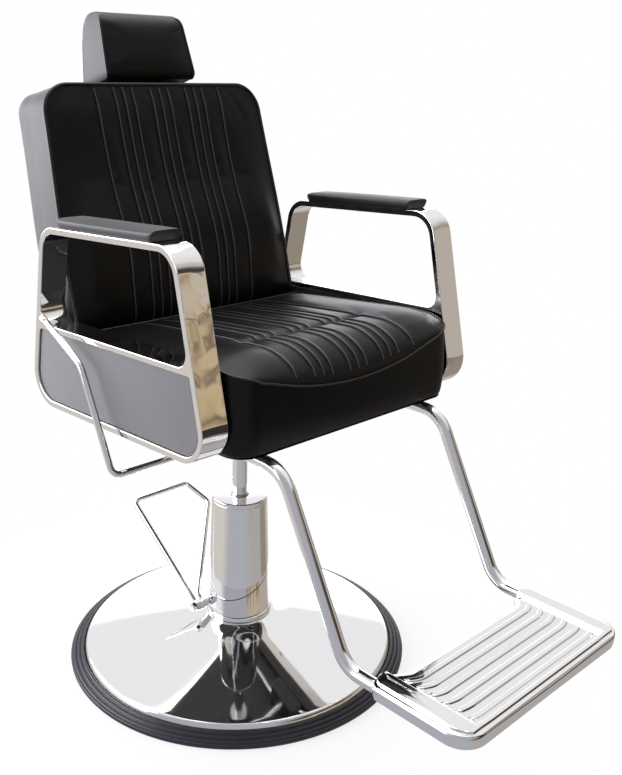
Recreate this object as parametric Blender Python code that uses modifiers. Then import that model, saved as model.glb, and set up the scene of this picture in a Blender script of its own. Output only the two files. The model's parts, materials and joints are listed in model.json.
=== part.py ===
# Barber chair with a round hydraulic base, loop arms and a reclining back.
# Metres, +Z up. The chair faces -Y and stands on the floor at z = 0.
# "right" and "left" are the sitter's own sides, so right is -X.

import math

import bmesh
import bpy
from mathutils import Matrix, Vector

# Clearances
GAP = 0.0003                # between pieces that sit on each other
RUN = 0.0004                # between a shaft and its bore

# Main sizes: what the arms, the back, the lever and the footrest hang on follows these
SEAT_Z = 0.5515             # top of the steel seat plate
SEAT_HALF = 0.250           # half width of the seat cushion
FOOT_HALF = 0.205           # half width of the foot plate

# Base
BASE_R = 0.330              # outside of the rubber rim
RIM_WIDTH = 0.0297
RIM_HEIGHT = 0.0215
RIM_LEDGE = 0.004           # inner step of the rim that carries the dish
RIM_FOOT = 0.003            # outer strip of the rim beside its three ridges
RIDGE_DROP = 0.004
PLATE_T = 0.006
DISH_TOP_R = 0.066
DISH_TOP_Z = 0.078
SHEET_T = 0.002
LIP_WIDTH = 0.008           # rolled edge of the dish
LIP_DROP = 0.0102

# Column and pump
COLUMN_BOTTOM_R = 0.0605
COLUMN_TOP_R = 0.0530
COLUMN_WALL = 0.0025
COLUMN_TOP_Z = 0.326
CAP_T = 0.0077
FLANGE_T = 0.010
CUT_TILT_X = 0.5495         # rise of the slanted joint towards +X
CUT_TILT_Y = 0.1409
CUT_Z = 0.158
CUT_GAP = 0.0010
PISTON_R = 0.014
SPINDLE_R = 0.011
PUMP_R = 0.034
HUB_DROP = 0.0515           # from the top of the seat plate to the underside of the swivel hub
SPINDLE_H = 0.0195
HUB_Z = SEAT_Z - HUB_DROP
PISTON_TOP_Z = HUB_Z + SPINDLE_H
PISTON_LOW_Z = 0.165

# Pump pedal
PEDAL_Y = 0.034
PEDAL_Z = 0.097
PEDAL_ROD_R = 0.005
PEDAL_BENDS = (0.014, 0.014, 0.014, 0.0085)
PEDAL_REACH = 0.2091
PEDAL_RISE = 0.150
PEDAL_FAR_X = 0.080         # the corner behind the column
PEDAL_FAR_SHARE = 0.78      # its place between the hub and the foot bar
PEDAL_HUB_R = 0.0105
PEDAL_HUB_X = (-0.0845, -0.0565)
PEDAL_SHAFT_R = 0.006

# Seat carrier
SEAT_PLATE_T = 0.004
SEAT_PLATE_INSET = 0.018    # from the side of the cushion to the side of the plate
SEAT_PLATE_X = SEAT_HALF - SEAT_PLATE_INSET
SEAT_PLATE_FRONT = -0.235
SEAT_PLATE_REAR = 0.215
SEAT_PLATE_CORNER = 0.030
HUB_R = 0.036
HUB_FLANGE_R = 0.085
RAIL_BEARING = 0.0175       # how much of each rail lies under the plate
RAIL_X = SEAT_PLATE_X - RAIL_BEARING
RAIL_H = 0.018
RAIL_FRONT = -0.190
RAIL_REAR = 0.115

# Seat cushion
SEAT_REAR = 0.115
SEAT_FRONT = -0.287
SEAT_NOSE = 0.006           # how far the middle of the front seam bows out
SEAT_CORNER = 0.042         # round front corners, seen from above
CUSHION_H = 0.1385          # from the seat plate to the side seams at the front roll
SEAT_SEAM_Z = SEAT_Z + CUSHION_H
SEAT_FALL = 0.032           # how much lower the side seams lie at the rear
SEAT_DISH = 0.031           # how much lower the sitting area lies than the front roll
SEAT_DROP = 0.0577          # how far the roll turns down to its seam in the middle
SEAT_ROLL = 0.81            # where the roll turns down, as a share of the depth
SEAT_CREASE = 0.668         # where the crease behind the roll lies
SEAT_MARGIN = 0.050         # plain strip beside the stitched panel

# Arms
ARM_CLEAR = 0.007           # between the cushion and the arms
ARM_IN = SEAT_HALF + ARM_CLEAR
ARM_WIDTH = 0.049
ARM_T = 0.011
ARM_CORNERS = ((0.149, SEAT_Z + 0.2955), (-0.2132, SEAT_Z + 0.3179), (-0.2872, SEAT_Z + 0.0010),
               (0.209, SEAT_Z - 0.0205))
ARM_RADII = (0.045, 0.048, 0.054, 0.055)
# Corners of the two openings, from the rear end of the middle rail
ARM_UPPER_RADII = (0.028, 0.034, 0.038, 0.022)
ARM_LOWER_RADII = (0.010, 0.004, 0.040, 0.044)
ARM_SOFTENING = 0.0018
MID_REAR_Y = 0.200
MID_REAR_Z = SEAT_Z + 0.1220
MID_FRONT_Y = -0.260
MID_FRONT_Z = SEAT_Z + 0.1420
MID_T = 0.010
PAD_T = 0.017
PAD_HALF = 0.028
PAD_REAR = 0.104
PAD_FRONT = -0.162
PANEL_T = 0.015
PANEL_GAP = 0.0006          # round the upholstered panel
PANEL_SINK = 0.0030         # how far the panel stands back from the arm's outside
SCREW_R = 0.0030
SCREW_Y = (0.060, -0.140)

# Footrest
TUBE_R = 0.0110
CLAMP_EAR = 0.011
CLAMP_T = 0.003
CLAMP_HALF = 0.010
CLAMP_Y = (-0.130, -0.205)
CLAMP_CLEAR = 0.0036        # between the clamps and the arm rails
TUBE_X = RAIL_X - CLAMP_CLEAR - CLAMP_EAR - GAP - TUBE_R
TUBE_INSET = 0.0164         # from the side of the foot plate to the middle of its tube
FOOT_TUBE_X = FOOT_HALF - TUBE_INSET
TUBE_PATH = ((-0.055, 0.0), (-0.3175, 0.0), (-0.4640, -0.2710), (-0.600, -0.2710))
TUBE_BENDS = (0.060, 0.050)
FOOT_REAR = -0.523           # ends of the ears that take the tubes
FOOT_RECESS = 0.016         # how far the rear edge stands back between the ears
FOOT_FRONT = -0.700
FOOT_COVER = 0.0046         # top of the side borders above the tubes
FOOT_DEPTH = 0.0250
FOOT_BORDER = 0.038         # raised side borders that cover the tubes
FOOT_CORNER = 0.040
FOOT_WALL = 0.0045
TREAD_DROP = 0.0060
TREAD_T = 0.0040
RIB_H = 0.0028
FOOT_RIBS = 6

# Reclining back
BACK_TILT = math.radians(15.0)
PIVOT_Y = 0.181
PIVOT_H = 0.0285            # pivot above the seat plate
PIVOT_Z = SEAT_Z + PIVOT_H
PIVOT_R = 0.006
HINGE_T = 0.006
STRAP_HIGH = 0.230
BACK_LOW = 0.030            # bottom of the back above its pivot
BACK_HIGH = 0.484
BACK_PROUD = 0.0015         # how much wider the back is than the seat, each side
BACK_TAPER = 0.0140
BACK_HALF = SEAT_HALF + BACK_PROUD
BACK_TOP_HALF = BACK_HALF - BACK_TAPER
BACK_CORNER = 0.050
BACK_FRONT = 0.0670         # front seam in front of the pivot
BACK_REAR = -0.0325
BACK_RISE = 0.0055          # rear of the back stands this much higher than its front
BACK_MARGIN = 0.0175        # from the stitched panel to the start of the round corners
TRAY_FRONT = 0.0085
TRAY_WALL = 0.004
BOARD_T = 0.0058
BOARD_INSET = 0.0465
BOARD_HIGH = 0.440
GUIDE_LOW = 0.300
CHANNELS = (-0.138, -0.0985, -0.079, -0.0595, -0.0195, 0.0, 0.0195, 0.0595, 0.079, 0.0985, 0.138)

# Recline lock
CRANK = 0.050
CRANK_SWING = math.radians(20.0)
CRANK_PIN_R = 0.004
LOCK_INSET = 0.0386         # from the middle of a footrest tube to the lock rod
LOCK_X = TUBE_X - LOCK_INSET
LOCK_SIDE = 0.020
LOCK_ROD_R = 0.006
LOCK_TAIL = 0.030           # how far the rod reaches past the lever
EYE_HALF = 0.011
EYE_HALF_H = 0.0125
EYE_HALF_T = 0.004
HINGE_STEP = 0.010          # from the lock rod to the hinge arm beside it
HINGE_X = LOCK_X + HINGE_STEP
LEVER_Y = -0.070
LEVER_DROP = 0.0705
LEVER_Z = SEAT_Z - LEVER_DROP
LEVER_R = 0.0055
LEVER_CLEAR = 0.0195        # from the outside of the arm to the middle of the lever
LEVER_X = -(ARM_IN + ARM_WIDTH + LEVER_CLEAR)
LEVER_BEND = (0.0105, SEAT_Z + 0.0950)
LEVER_END = (0.112, SEAT_Z + 0.1445)
BRACKET_T = 0.006

# Headrest
HEAD_LOW = 0.4975
HEAD_HIGH = 0.6175
HEAD_HALF = 0.098
HEAD_TOP_HALF = 0.0885
HEAD_ROUND = 0.028          # the front panel rolls over the top
HEAD_FOOT_ROUND = 0.012     # and turns under at the bottom
HEAD_FRONT = 0.060          # front seam in front of the bars
HEAD_TAPER = 0.006
HEAD_REAR = 0.031           # rear behind the bars, at the bottom
HEAD_REAR_TAPER = 0.015
HEAD_CROWN = 0.006
NECK_H = 0.007              # space between the headrest and the bars
NECK_HALF = 0.084
NECK_FRONT = 0.026
NECK_REAR = 0.033
NECK_LIP = 0.003
NECK_RISE = 0.028           # height of the neck's rear edge beside the headrest
NECK_STEP = 0.006           # where the neck starts to rise
BAR_X = 0.055
BAR_W = 0.018
BAR_T = 0.006


# Start from an empty scene
for old in list(bpy.data.objects):
    bpy.data.objects.remove(old, do_unlink=True)

parts = bpy.data.collections.new("barber_chair")
bpy.context.scene.collection.children.link(parts)


def material(name, colour, metallic, roughness):
    """One Principled material."""
    mat = bpy.data.materials.new(name)
    mat.use_nodes = True
    shader = mat.node_tree.nodes["Principled BSDF"]
    shader.inputs["Base Color"].default_value = (*colour, 1.0)
    shader.inputs["Metallic"].default_value = metallic
    shader.inputs["Roughness"].default_value = roughness
    mat.diffuse_color = (*colour, 1.0)
    return mat


CHROME = ("chrome", (0.80, 0.80, 0.82), 1.0, 0.08)
STEEL = ("dark_steel", (0.10, 0.10, 0.11), 0.8, 0.45)
ZINC = ("zinc_steel", (0.55, 0.56, 0.58), 1.0, 0.35)
RUBBER = ("rubber", (0.025, 0.027, 0.032), 0.0, 0.6)
LEATHER = ("black_leather", (0.012, 0.012, 0.014), 0.0, 0.4)
WOOD = ("plywood", (0.42, 0.30, 0.18), 0.0, 0.6)
BRONZE = ("bronze", (0.60, 0.42, 0.20), 1.0, 0.35)


def keep(name, mesh, look):
    """Put a mesh in the chair as one named piece with its own material."""
    obj = bpy.data.objects.new(name, mesh)
    parts.objects.link(obj)
    mesh.materials.clear()
    mesh.materials.append(material(name + "_" + look[0], *look[1:]))
    return obj


def to_mesh(bm, name):
    """Weld, drop slivers, turn the faces outwards and store."""
    bmesh.ops.remove_doubles(bm, verts=bm.verts, dist=0.00001)
    bmesh.ops.dissolve_degenerate(bm, edges=bm.edges, dist=0.000002)
    bmesh.ops.recalc_face_normals(bm, faces=bm.faces)
    mesh = bpy.data.meshes.new(name)
    bm.to_mesh(mesh)
    bm.free()
    return mesh


def bake(obj):
    """Turn an object's modifiers into its mesh."""
    bpy.context.view_layer.update()
    graph = bpy.context.evaluated_depsgraph_get()
    bm = bmesh.new()
    bm.from_mesh(bpy.data.meshes.new_from_object(obj.evaluated_get(graph)))
    look = obj.data.materials[0] if obj.data.materials else None
    obj.modifiers.clear()
    obj.data = to_mesh(bm, obj.name)
    if look:
        obj.data.materials.append(look)
    return obj


def cut(obj, *cutters):
    """Take each cutter mesh out of a piece."""
    for mesh in cutters:
        tool = bpy.data.objects.new("cutter", mesh)
        tool.hide_render = True
        tool.display_type = "WIRE"
        bpy.context.scene.collection.objects.link(tool)
        mod = obj.modifiers.new("cut", "BOOLEAN")
        mod.operation = "DIFFERENCE"
        mod.solver = "EXACT"
        mod.object = tool
        bake(obj)
        bpy.data.objects.remove(tool, do_unlink=True)
    return obj


def soften(obj, width, segments=2, angle=40.0):
    """Round the sharp edges."""
    mod = obj.modifiers.new("bevel", "BEVEL")
    mod.width = width
    mod.segments = segments
    mod.limit_method = "ANGLE"
    mod.angle_limit = math.radians(angle)
    return bake(obj)


def lathe(name, profile, look, segments=48, closed=True):
    """Turn a profile of (radius, height) round the Z axis with a Screw modifier."""
    mesh = bpy.data.meshes.new(name)
    count = len(profile)
    edges = [(i, i + 1) for i in range(count - 1)]
    if closed:
        edges.append((count - 1, 0))
    mesh.from_pydata([(r, 0.0, z) for r, z in profile], edges, [])
    obj = keep(name, mesh, look)
    mod = obj.modifiers.new("turn", "SCREW")
    mod.axis = "Z"
    mod.steps = segments
    mod.render_steps = segments
    mod.use_merge_vertices = True
    mod.merge_threshold = 0.00005
    mod.use_smooth_shade = False
    return bake(obj)


def rounded(corners, radii, steps=6):
    """A closed outline with its corners turned into arcs."""
    out = []
    count = len(corners)
    for i, corner in enumerate(corners):
        here = Vector(corner)
        back = (Vector(corners[i - 1]) - here).normalized()
        ahead = (Vector(corners[(i + 1) % count]) - here).normalized()
        out.extend(arc(here, back, ahead, radii[i], steps))
    return [tuple(p) for p in out]


def arc(here, back, ahead, radius, steps):
    """Points of the arc that rounds one corner."""
    if radius <= 0.0:
        return [here]
    half = back.angle(ahead) / 2.0
    reach = radius / math.tan(half)
    centre = here + (back + ahead).normalized() * (radius / math.sin(half))
    start = here + back * reach - centre
    end = here + ahead * reach - centre
    turn = start.angle(end)
    points = []
    for k in range(steps + 1):
        t = k / steps
        a = math.sin((1.0 - t) * turn) / math.sin(turn)
        b = math.sin(t * turn) / math.sin(turn)
        points.append(centre + start * a + end * b)
    return points


def prism_mesh(name, outline, axis, low, high):
    """A flat outline drawn out along one axis."""
    bm = bmesh.new()
    place = {
        "X": lambda p: (low, p[0], p[1]),
        "Y": lambda p: (p[0], low, p[1]),
        "Z": lambda p: (p[0], p[1], low),
    }[axis]
    face = bm.faces.new([bm.verts.new(place(p)) for p in outline])
    grown = bmesh.ops.extrude_face_region(bm, geom=[face])
    step = {"X": (high - low, 0, 0), "Y": (0, high - low, 0), "Z": (0, 0, high - low)}[axis]
    moved = [v for v in grown["geom"] if isinstance(v, bmesh.types.BMVert)]
    bmesh.ops.translate(bm, verts=moved, vec=step)
    return to_mesh(bm, name)


def prism(name, outline, axis, low, high, look):
    return keep(name, prism_mesh(name, outline, axis, low, high), look)


def box_outline(a0, a1, b0, b1):
    return [(a0, b0), (a1, b0), (a1, b1), (a0, b1)]


def drum_mesh(name, axis, centre, radius, low, high, segments=24):
    """A plain cylinder along one axis; centre gives the other two coordinates."""
    bm = bmesh.new()
    bmesh.ops.create_cone(bm, cap_ends=True, segments=segments, radius1=radius, radius2=radius,
                          depth=high - low)
    middle = (low + high) / 2.0
    turn = {
        "X": Matrix.Translation((middle, *centre)) @ Matrix.Rotation(math.pi / 2, 4, "Y"),
        "Y": Matrix.Translation((centre[0], middle, centre[1])) @ Matrix.Rotation(math.pi / 2, 4, "X"),
        "Z": Matrix.Translation((*centre, middle)),
    }[axis]
    bmesh.ops.transform(bm, matrix=turn, verts=bm.verts)
    return to_mesh(bm, name)


def drum(name, axis, centre, radius, low, high, look, segments=24):
    return keep(name, drum_mesh(name, axis, centre, radius, low, high, segments), look)


def bent_path(points, bends, steps=6):
    """A path through the points with round bends at the inner ones."""
    path = [Vector(points[0])]
    for i in range(1, len(points) - 1):
        here = Vector(points[i])
        back = (Vector(points[i - 1]) - here).normalized()
        ahead = (Vector(points[i + 1]) - here).normalized()
        path.extend(arc(here, back, ahead, bends[i - 1], steps))
    path.append(Vector(points[-1]))
    return path


def bent_rod(name, points, bends, radius, look, steps=6, resolution=3):
    """A round bar bent along a path: a curve with a bevel and filled ends."""
    path = bent_path(points, bends, steps)
    curve = bpy.data.curves.new(name, "CURVE")
    curve.dimensions = "3D"
    curve.bevel_depth = radius
    curve.bevel_resolution = resolution
    curve.use_fill_caps = True
    spline = curve.splines.new("POLY")
    spline.points.add(len(path) - 1)
    for point, where in zip(spline.points, path):
        point.co = (*where, 1.0)
    guide = bpy.data.objects.new(name + "_path", curve)
    bpy.context.scene.collection.objects.link(guide)
    bpy.context.view_layer.update()
    graph = bpy.context.evaluated_depsgraph_get()
    bm = bmesh.new()
    bm.from_mesh(bpy.data.meshes.new_from_object(guide.evaluated_get(graph)))
    bpy.data.objects.remove(guide, do_unlink=True)
    return keep(name, to_mesh(bm, name), look)


def mirrored(source, name, look):
    """The same piece on the other side of the chair."""
    bm = bmesh.new()
    bm.from_mesh(source.data)
    bmesh.ops.transform(bm, matrix=Matrix.Scale(-1.0, 4, (1, 0, 0)), verts=bm.verts)
    bmesh.ops.reverse_faces(bm, faces=bm.faces)
    return keep(name, to_mesh(bm, name), look)


def smooth(low, high, value):
    t = min(max((value - low) / (high - low), 0.0), 1.0)
    return t * t * (3.0 - 2.0 * t)


def channel(across, depth, half=0.0055):
    """Depth of the stitched channel lines at one place across the cushion."""
    near = min(abs(across - line) for line in CHANNELS)
    return depth * max(0.0, 1.0 - near / half)


def channel_columns(limit):
    """Columns of the cushion grid: both lips and the valley of every channel line."""
    columns = set()
    for line in CHANNELS:
        columns.update((round(line - 0.0055, 5), line, round(line + 0.0055, 5)))
    for place in (0.039, 0.118, (0.1435 + limit) / 2.0, limit):
        columns.update((place, -place))
    return sorted(columns)


def boxed_cushion(name, columns, edge_steps, rows, half_at, top, foot, bulge, rings, place, look):
    """A boxed cushion: a shaped top, sides that swell a little and a flat underside.

    columns are the inner places across; edge_steps fill out to half_at(row) on both sides.
    top(a, b) gives (b, height), foot(a, b) gives the outline (a, b, height) of the underside.
    """
    inner = columns[-1]
    grid = []
    for b in rows:
        half = half_at(b)
        outer = [inner + (half - inner) * t for t in edge_steps]
        line = [-a for a in reversed(outer)] + list(columns) + outer
        grid.append([(a, *top(a, b)) for a in line])
    bm = bmesh.new()
    nodes = [[bm.verts.new(place(*p)) for p in line] for line in grid]
    last_row = len(nodes) - 1
    last = len(nodes[0]) - 1
    for j in range(last_row):
        for i in range(last):
            bm.faces.new((nodes[j][i], nodes[j][i + 1], nodes[j + 1][i + 1], nodes[j + 1][i]))
    ring = [(0, i) for i in range(last)] + [(j, last) for j in range(last_row)]
    ring += [(last_row, i) for i in range(last, 0, -1)] + [(j, 0) for j in range(last_row, 0, -1)]
    seam = [Vector(grid[j][i]) for j, i in ring]
    low = [Vector(foot(grid[j][i][0], rows[j])) for j, i in ring]
    count = len(ring)
    upper = [nodes[j][i] for j, i in ring]
    for k in range(1, rings + 1):
        t = k / rings
        lower = []
        for n in range(count):
            run = seam[(n + 1) % count] - seam[n - 1]
            out = Vector((run.y, -run.x, 0.0)).normalized()
            spot = seam[n].lerp(low[n], t) + out * bulge * math.sin(math.pi * t)
            lower.append(bm.verts.new(place(*spot)))
        for n in range(count):
            m = (n + 1) % count
            bm.faces.new((upper[n], upper[m], lower[m], lower[n]))
        upper = lower
    bm.faces.new(upper)
    return keep(name, to_mesh(bm, name), look)


def lean(obj):
    """Carry a piece drawn upright about the pivot into the tilted back."""
    move = Matrix.Translation((0.0, PIVOT_Y, PIVOT_Z)) @ Matrix.Rotation(-BACK_TILT, 4, "X")
    obj.data.transform(move)
    return obj


def back_place(a, v, w):
    """World place of a point of the back: across, up the back, forwards of the pivot."""
    y = PIVOT_Y + v * math.sin(BACK_TILT) - w * math.cos(BACK_TILT)
    z = PIVOT_Z + v * math.cos(BACK_TILT) + w * math.sin(BACK_TILT)
    return (a, y, z)


# Base: floor plate, rubber rim and the chrome dish
rim_in = BASE_R - RIM_WIDTH
ledge_z = RIM_HEIGHT - 0.0045
lathe("base_plate", [(0.0, PLATE_T), (rim_in - GAP, PLATE_T), (rim_in - GAP, 0.0), (0.0, 0.0)],
      STEEL, 64, closed=False)
ridge_in = rim_in + RIM_LEDGE
ridge_width = (BASE_R - RIM_FOOT - ridge_in) / 3.0
rim_profile = [(ridge_in, RIM_HEIGHT)]
for k in range(3):
    start = ridge_in + ridge_width * k
    top = RIM_HEIGHT - RIDGE_DROP * k
    rim_profile += [(start + 0.7 * ridge_width, top - 0.0008), (start + ridge_width, top - RIDGE_DROP)]
rim_profile += [(BASE_R, 0.008), (BASE_R - 0.002, 0.0), (rim_in, 0.0), (rim_in, ledge_z)]
rim_profile.append((ridge_in, ledge_z))
lathe("rim_ring", rim_profile, RUBBER, 64)
dish_r = ridge_in - GAP
dish_z = ledge_z + GAP + SHEET_T
bore_r = PUMP_R + 0.0015
dish_top = [(bore_r, DISH_TOP_Z), (DISH_TOP_R, DISH_TOP_Z), (DISH_TOP_R + 0.012, DISH_TOP_Z - 0.0045),
            (DISH_TOP_R + 0.034, DISH_TOP_Z - 0.0105), (dish_r - LIP_WIDTH, dish_z + LIP_DROP),
            (dish_r - LIP_WIDTH * 0.4, dish_z + LIP_DROP * 0.78), (dish_r, dish_z)]
dish_low = [(r, z - SHEET_T) for r, z in reversed(dish_top)]
lathe("base_cover", dish_top + dish_low, CHROME, 64)

# Column: foot flange, pump cylinder, and the tapered casing split by a slanted joint
flange_z = DISH_TOP_Z + GAP
flange_r = COLUMN_BOTTOM_R + 0.003
lathe("column_flange", [(PUMP_R + 0.001, flange_z + FLANGE_T), (flange_r - 0.003, flange_z + FLANGE_T),
                        (flange_r, flange_z + FLANGE_T * 0.6), (flange_r, flange_z + 0.002),
                        (flange_r - 0.001, flange_z), (PUMP_R + 0.001, flange_z)], CHROME, 40)
casing_z = flange_z + FLANGE_T + GAP
casing_top = COLUMN_TOP_Z - CAP_T - GAP
cylinder_low = PLATE_T + GAP
cylinder_floor = cylinder_low + 0.010
lathe("pump_cylinder", [(0.0, cylinder_floor), (PISTON_R + RUN, cylinder_floor), (PISTON_R + RUN, casing_top),
                        (PUMP_R, casing_top), (PUMP_R, cylinder_low), (0.0, cylinder_low)],
      STEEL, 32, closed=False)


def casing(name):
    return lathe(name, [(COLUMN_TOP_R, casing_top), (COLUMN_BOTTOM_R, casing_z),
                        (COLUMN_BOTTOM_R - COLUMN_WALL, casing_z), (COLUMN_TOP_R - COLUMN_WALL, casing_top)],
                 CHROME, 48)


def slant_block(name, low, high):
    """A block whose lower or upper side follows the slanted joint."""
    reach = COLUMN_BOTTOM_R * 2.0
    bm = bmesh.new()
    bmesh.ops.create_cube(bm, size=2.0)
    for v in bm.verts:
        base = high if v.co.z > 0 else low
        v.co.x *= reach
        v.co.y *= reach
        v.co.z = base + CUT_TILT_X * v.co.x + CUT_TILT_Y * v.co.y
    return to_mesh(bm, name)


collar = casing("column_collar")
cut(collar, slant_block("above", CUT_Z - CUT_GAP, 1.0))
sleeve = casing("column_sleeve")
cut(sleeve, slant_block("below", -1.0, CUT_Z))
cut(collar, drum_mesh("pedal_hole", "X", (PEDAL_Y, PEDAL_Z), PEDAL_SHAFT_R + RUN, -0.09, -0.02))
cap_low = COLUMN_TOP_Z - CAP_T
lathe("column_cap", [(PISTON_R + 0.003, COLUMN_TOP_Z), (COLUMN_TOP_R - 0.002, COLUMN_TOP_Z),
                     (COLUMN_TOP_R, COLUMN_TOP_Z - 0.002), (COLUMN_TOP_R, cap_low),
                     (PISTON_R + 0.003, cap_low)], CHROME, 40)
lathe("gland_bush", [(PISTON_R + RUN, COLUMN_TOP_Z + 0.0025), (PISTON_R + 0.0022, COLUMN_TOP_Z + 0.0025),
                     (PISTON_R + 0.0026, COLUMN_TOP_Z + 0.0015), (PISTON_R + 0.0026, cap_low),
                     (PISTON_R + RUN, cap_low)], BRONZE, 24)

# Pump pedal: a bent wire loop whose two ends meet in one hub
drum("pedal_shaft", "X", (PEDAL_Y, PEDAL_Z), PEDAL_SHAFT_R, PEDAL_HUB_X[0] - 0.001, -0.024, ZINC, 20)
nut = drum("pedal_nut", "X", (PEDAL_Y, PEDAL_Z), 0.0092, PEDAL_HUB_X[0] - 0.0085,
           PEDAL_HUB_X[0] - 0.001 - GAP, CHROME, 6)
soften(nut, 0.0008, 1)
hub = drum("pedal_hub", "X", (PEDAL_Y, PEDAL_Z), PEDAL_HUB_R, PEDAL_HUB_X[0], PEDAL_HUB_X[1], CHROME, 24)
cut(hub, drum_mesh("hub_bore", "X", (PEDAL_Y, PEDAL_Z), PEDAL_SHAFT_R + RUN, -0.1, -0.04, 20))
bar_y = PEDAL_Y + PEDAL_REACH
bar_z = PEDAL_Z + PEDAL_RISE
rise = Vector((0.0, bar_y - PEDAL_Y, bar_z - PEDAL_Z))
leg_root = rise.normalized() * (PEDAL_HUB_R + GAP + 0.0006)
outer_x = PEDAL_HUB_X[0] + 0.0065
inner_x = PEDAL_HUB_X[1] - 0.0065
root = Vector((0.0, PEDAL_Y, PEDAL_Z))
far_corner = root + Vector((PEDAL_FAR_X, 0.0, 0.0)) + rise * PEDAL_FAR_SHARE
stub = leg_root * 1.35
loop_points = [root + Vector((outer_x, 0, 0)) + leg_root, root + Vector((outer_x, 0, 0)) + rise,
               root + Vector((0.056, 0, 0)) + rise, far_corner,
               root + Vector((inner_x, 0, 0)) + stub * 1.3, root + Vector((inner_x, 0, 0)) + leg_root]
bent_rod("pedal_loop", loop_points, PEDAL_BENDS, PEDAL_ROD_R, CHROME, 4, 2)

# Piston that lifts the seat, with the collar that carries the swivel
collar_low = HUB_Z - GAP - 0.0107
lathe("piston_rod", [(0.0, PISTON_TOP_Z), (SPINDLE_R, PISTON_TOP_Z), (SPINDLE_R, collar_low),
                     (PISTON_R, collar_low), (PISTON_R, PISTON_LOW_Z), (0.0, PISTON_LOW_Z)], CHROME, 32,
      closed=False)
lathe("thrust_collar", [(SPINDLE_R + RUN, HUB_Z - GAP), (0.024, HUB_Z - GAP), (0.026, HUB_Z - 0.003),
                        (0.026, collar_low + GAP), (SPINDLE_R + RUN, collar_low + GAP)], ZINC, 24)

# Seat carrier: swivel hub, steel plate and the rails that hold the arms
under = SEAT_Z - SEAT_PLATE_T
hub_top = under - GAP
lathe("swivel_hub", [(0.0, hub_top), (HUB_FLANGE_R, hub_top), (HUB_FLANGE_R, hub_top - 0.010),
                     (HUB_R + 0.006, hub_top - 0.014), (HUB_R, hub_top - 0.020), (HUB_R, HUB_Z),
                     (SPINDLE_R + RUN, HUB_Z),
                     (SPINDLE_R + RUN, PISTON_TOP_Z + 0.001), (0.0, PISTON_TOP_Z + 0.001)],
      STEEL, 32, closed=False)
plate = prism("seat_plate", rounded(box_outline(-SEAT_PLATE_X, SEAT_PLATE_X, SEAT_PLATE_FRONT, SEAT_PLATE_REAR),
                                    (SEAT_PLATE_CORNER,) * 4, 4), "Z", under, SEAT_Z, STEEL)
crank_slot = box_outline(HINGE_X - 0.017, HINGE_X + 0.005, PIVOT_Y - 0.055, SEAT_PLATE_REAR + 0.02)
cut(plate, prism_mesh("crank_slot", crank_slot, "Z", under - 0.01, SEAT_Z + 0.01))
rail_top = under - GAP
rail_low = rail_top - RAIL_H
rail_out = ARM_IN - GAP
rail_outline = box_outline(RAIL_X, rail_out, RAIL_FRONT, RAIL_REAR)
rail = prism("arm_rail_left", rail_outline, "Z", rail_low, rail_top, STEEL)
soften(rail, 0.0015, 1)
mirrored(rail, "arm_rail_right", STEEL)

# Seat cushion: the most worked soft form, with a front roll and stitched channels
seat_low = SEAT_Z + GAP


def seat_front(a):
    return SEAT_FRONT - SEAT_NOSE + SEAT_NOSE * (a / SEAT_HALF) ** 2


def seat_half(s):
    """Half width of the seat, with round front corners."""
    depth = SEAT_REAR - SEAT_FRONT + SEAT_NOSE
    past = max(0.0, s * depth - (depth - SEAT_CORNER))
    return SEAT_HALF - 0.001 - SEAT_CORNER + math.sqrt(max(SEAT_CORNER ** 2 - past ** 2, 0.0))


def seat_top(a, s):
    """s runs from 0 at the rear seam to 1 at the front seam."""
    y = SEAT_REAR + (seat_front(a) - SEAT_REAR) * s
    share = abs(a) / SEAT_HALF
    side = SEAT_SEAM_Z - SEAT_FALL * max(0.0, 1.0 - s / 0.74)
    middle = SEAT_SEAM_Z + 0.003 - SEAT_DISH * (1.0 - smooth(0.26, SEAT_ROLL, s))
    out = max(0.0, share - 0.55) / 0.45
    height = middle + (side - middle) * smooth(0.0, 1.0, out)
    height += 0.007 * math.sin(math.pi * min(1.0, out)) * smooth(0.0, 0.10, s)
    height -= 0.006 * (1.0 - smooth(0.48, 0.64, share)) * math.exp(-((s - SEAT_CREASE) / 0.022) ** 2)
    turn = min(1.0, max(0.0, s - SEAT_ROLL) / (1.0 - SEAT_ROLL))
    height -= SEAT_DROP * (1.0 - 0.89 * share * share) * (1.0 - math.sqrt(max(0.0, 1.0 - turn * turn)))
    line = channel(a, 0.0045) * smooth(0.02, 0.10, s) * (1.0 - 0.6 * smooth(0.93, 1.0, s))
    return y, height - line


def seat_foot(a, s):
    y = SEAT_REAR - 0.004 + (SEAT_FRONT + 0.004 - SEAT_REAR) * s
    return a * (SEAT_HALF + 0.001) / (SEAT_HALF - 0.001), y, seat_low


seat_rows = (0.0, 0.04, 0.10, 0.20, 0.34, 0.48, 0.58, 0.635, 0.668, 0.70, 0.75, 0.81, 0.875, 0.924, 0.962,
             0.985, 0.996, 1.0)
seat_columns = channel_columns(SEAT_HALF - SEAT_MARGIN)
boxed_cushion("seat_cushion", seat_columns, (0.45, 0.8, 1.0), seat_rows, seat_half, seat_top, seat_foot,
              0.0008, 4, lambda a, b, h: (a, b, h), LEATHER)

# Arms: a flat bar bent into a loop, with a middle rail, a top pad and an upholstered panel


def toward_middle(outline, step):
    """Move the sides of a convex outline inwards."""
    moved = []
    count = len(outline)
    for i in range(count):
        here = Vector(outline[i])
        back = (here - Vector(outline[i - 1])).normalized()
        ahead = (Vector(outline[(i + 1) % count]) - here).normalized()
        turn_back = Vector((-back.y, back.x))
        turn_ahead = Vector((-ahead.y, ahead.x))
        both = turn_back + turn_ahead
        moved.append(tuple(here + both * (step / (0.5 * both.length_squared))))
    return moved


def line_at(line, y):
    (y0, z0), (y1, z1) = line
    return z0 + (z1 - z0) * (y - y0) / (y1 - y0)


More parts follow.
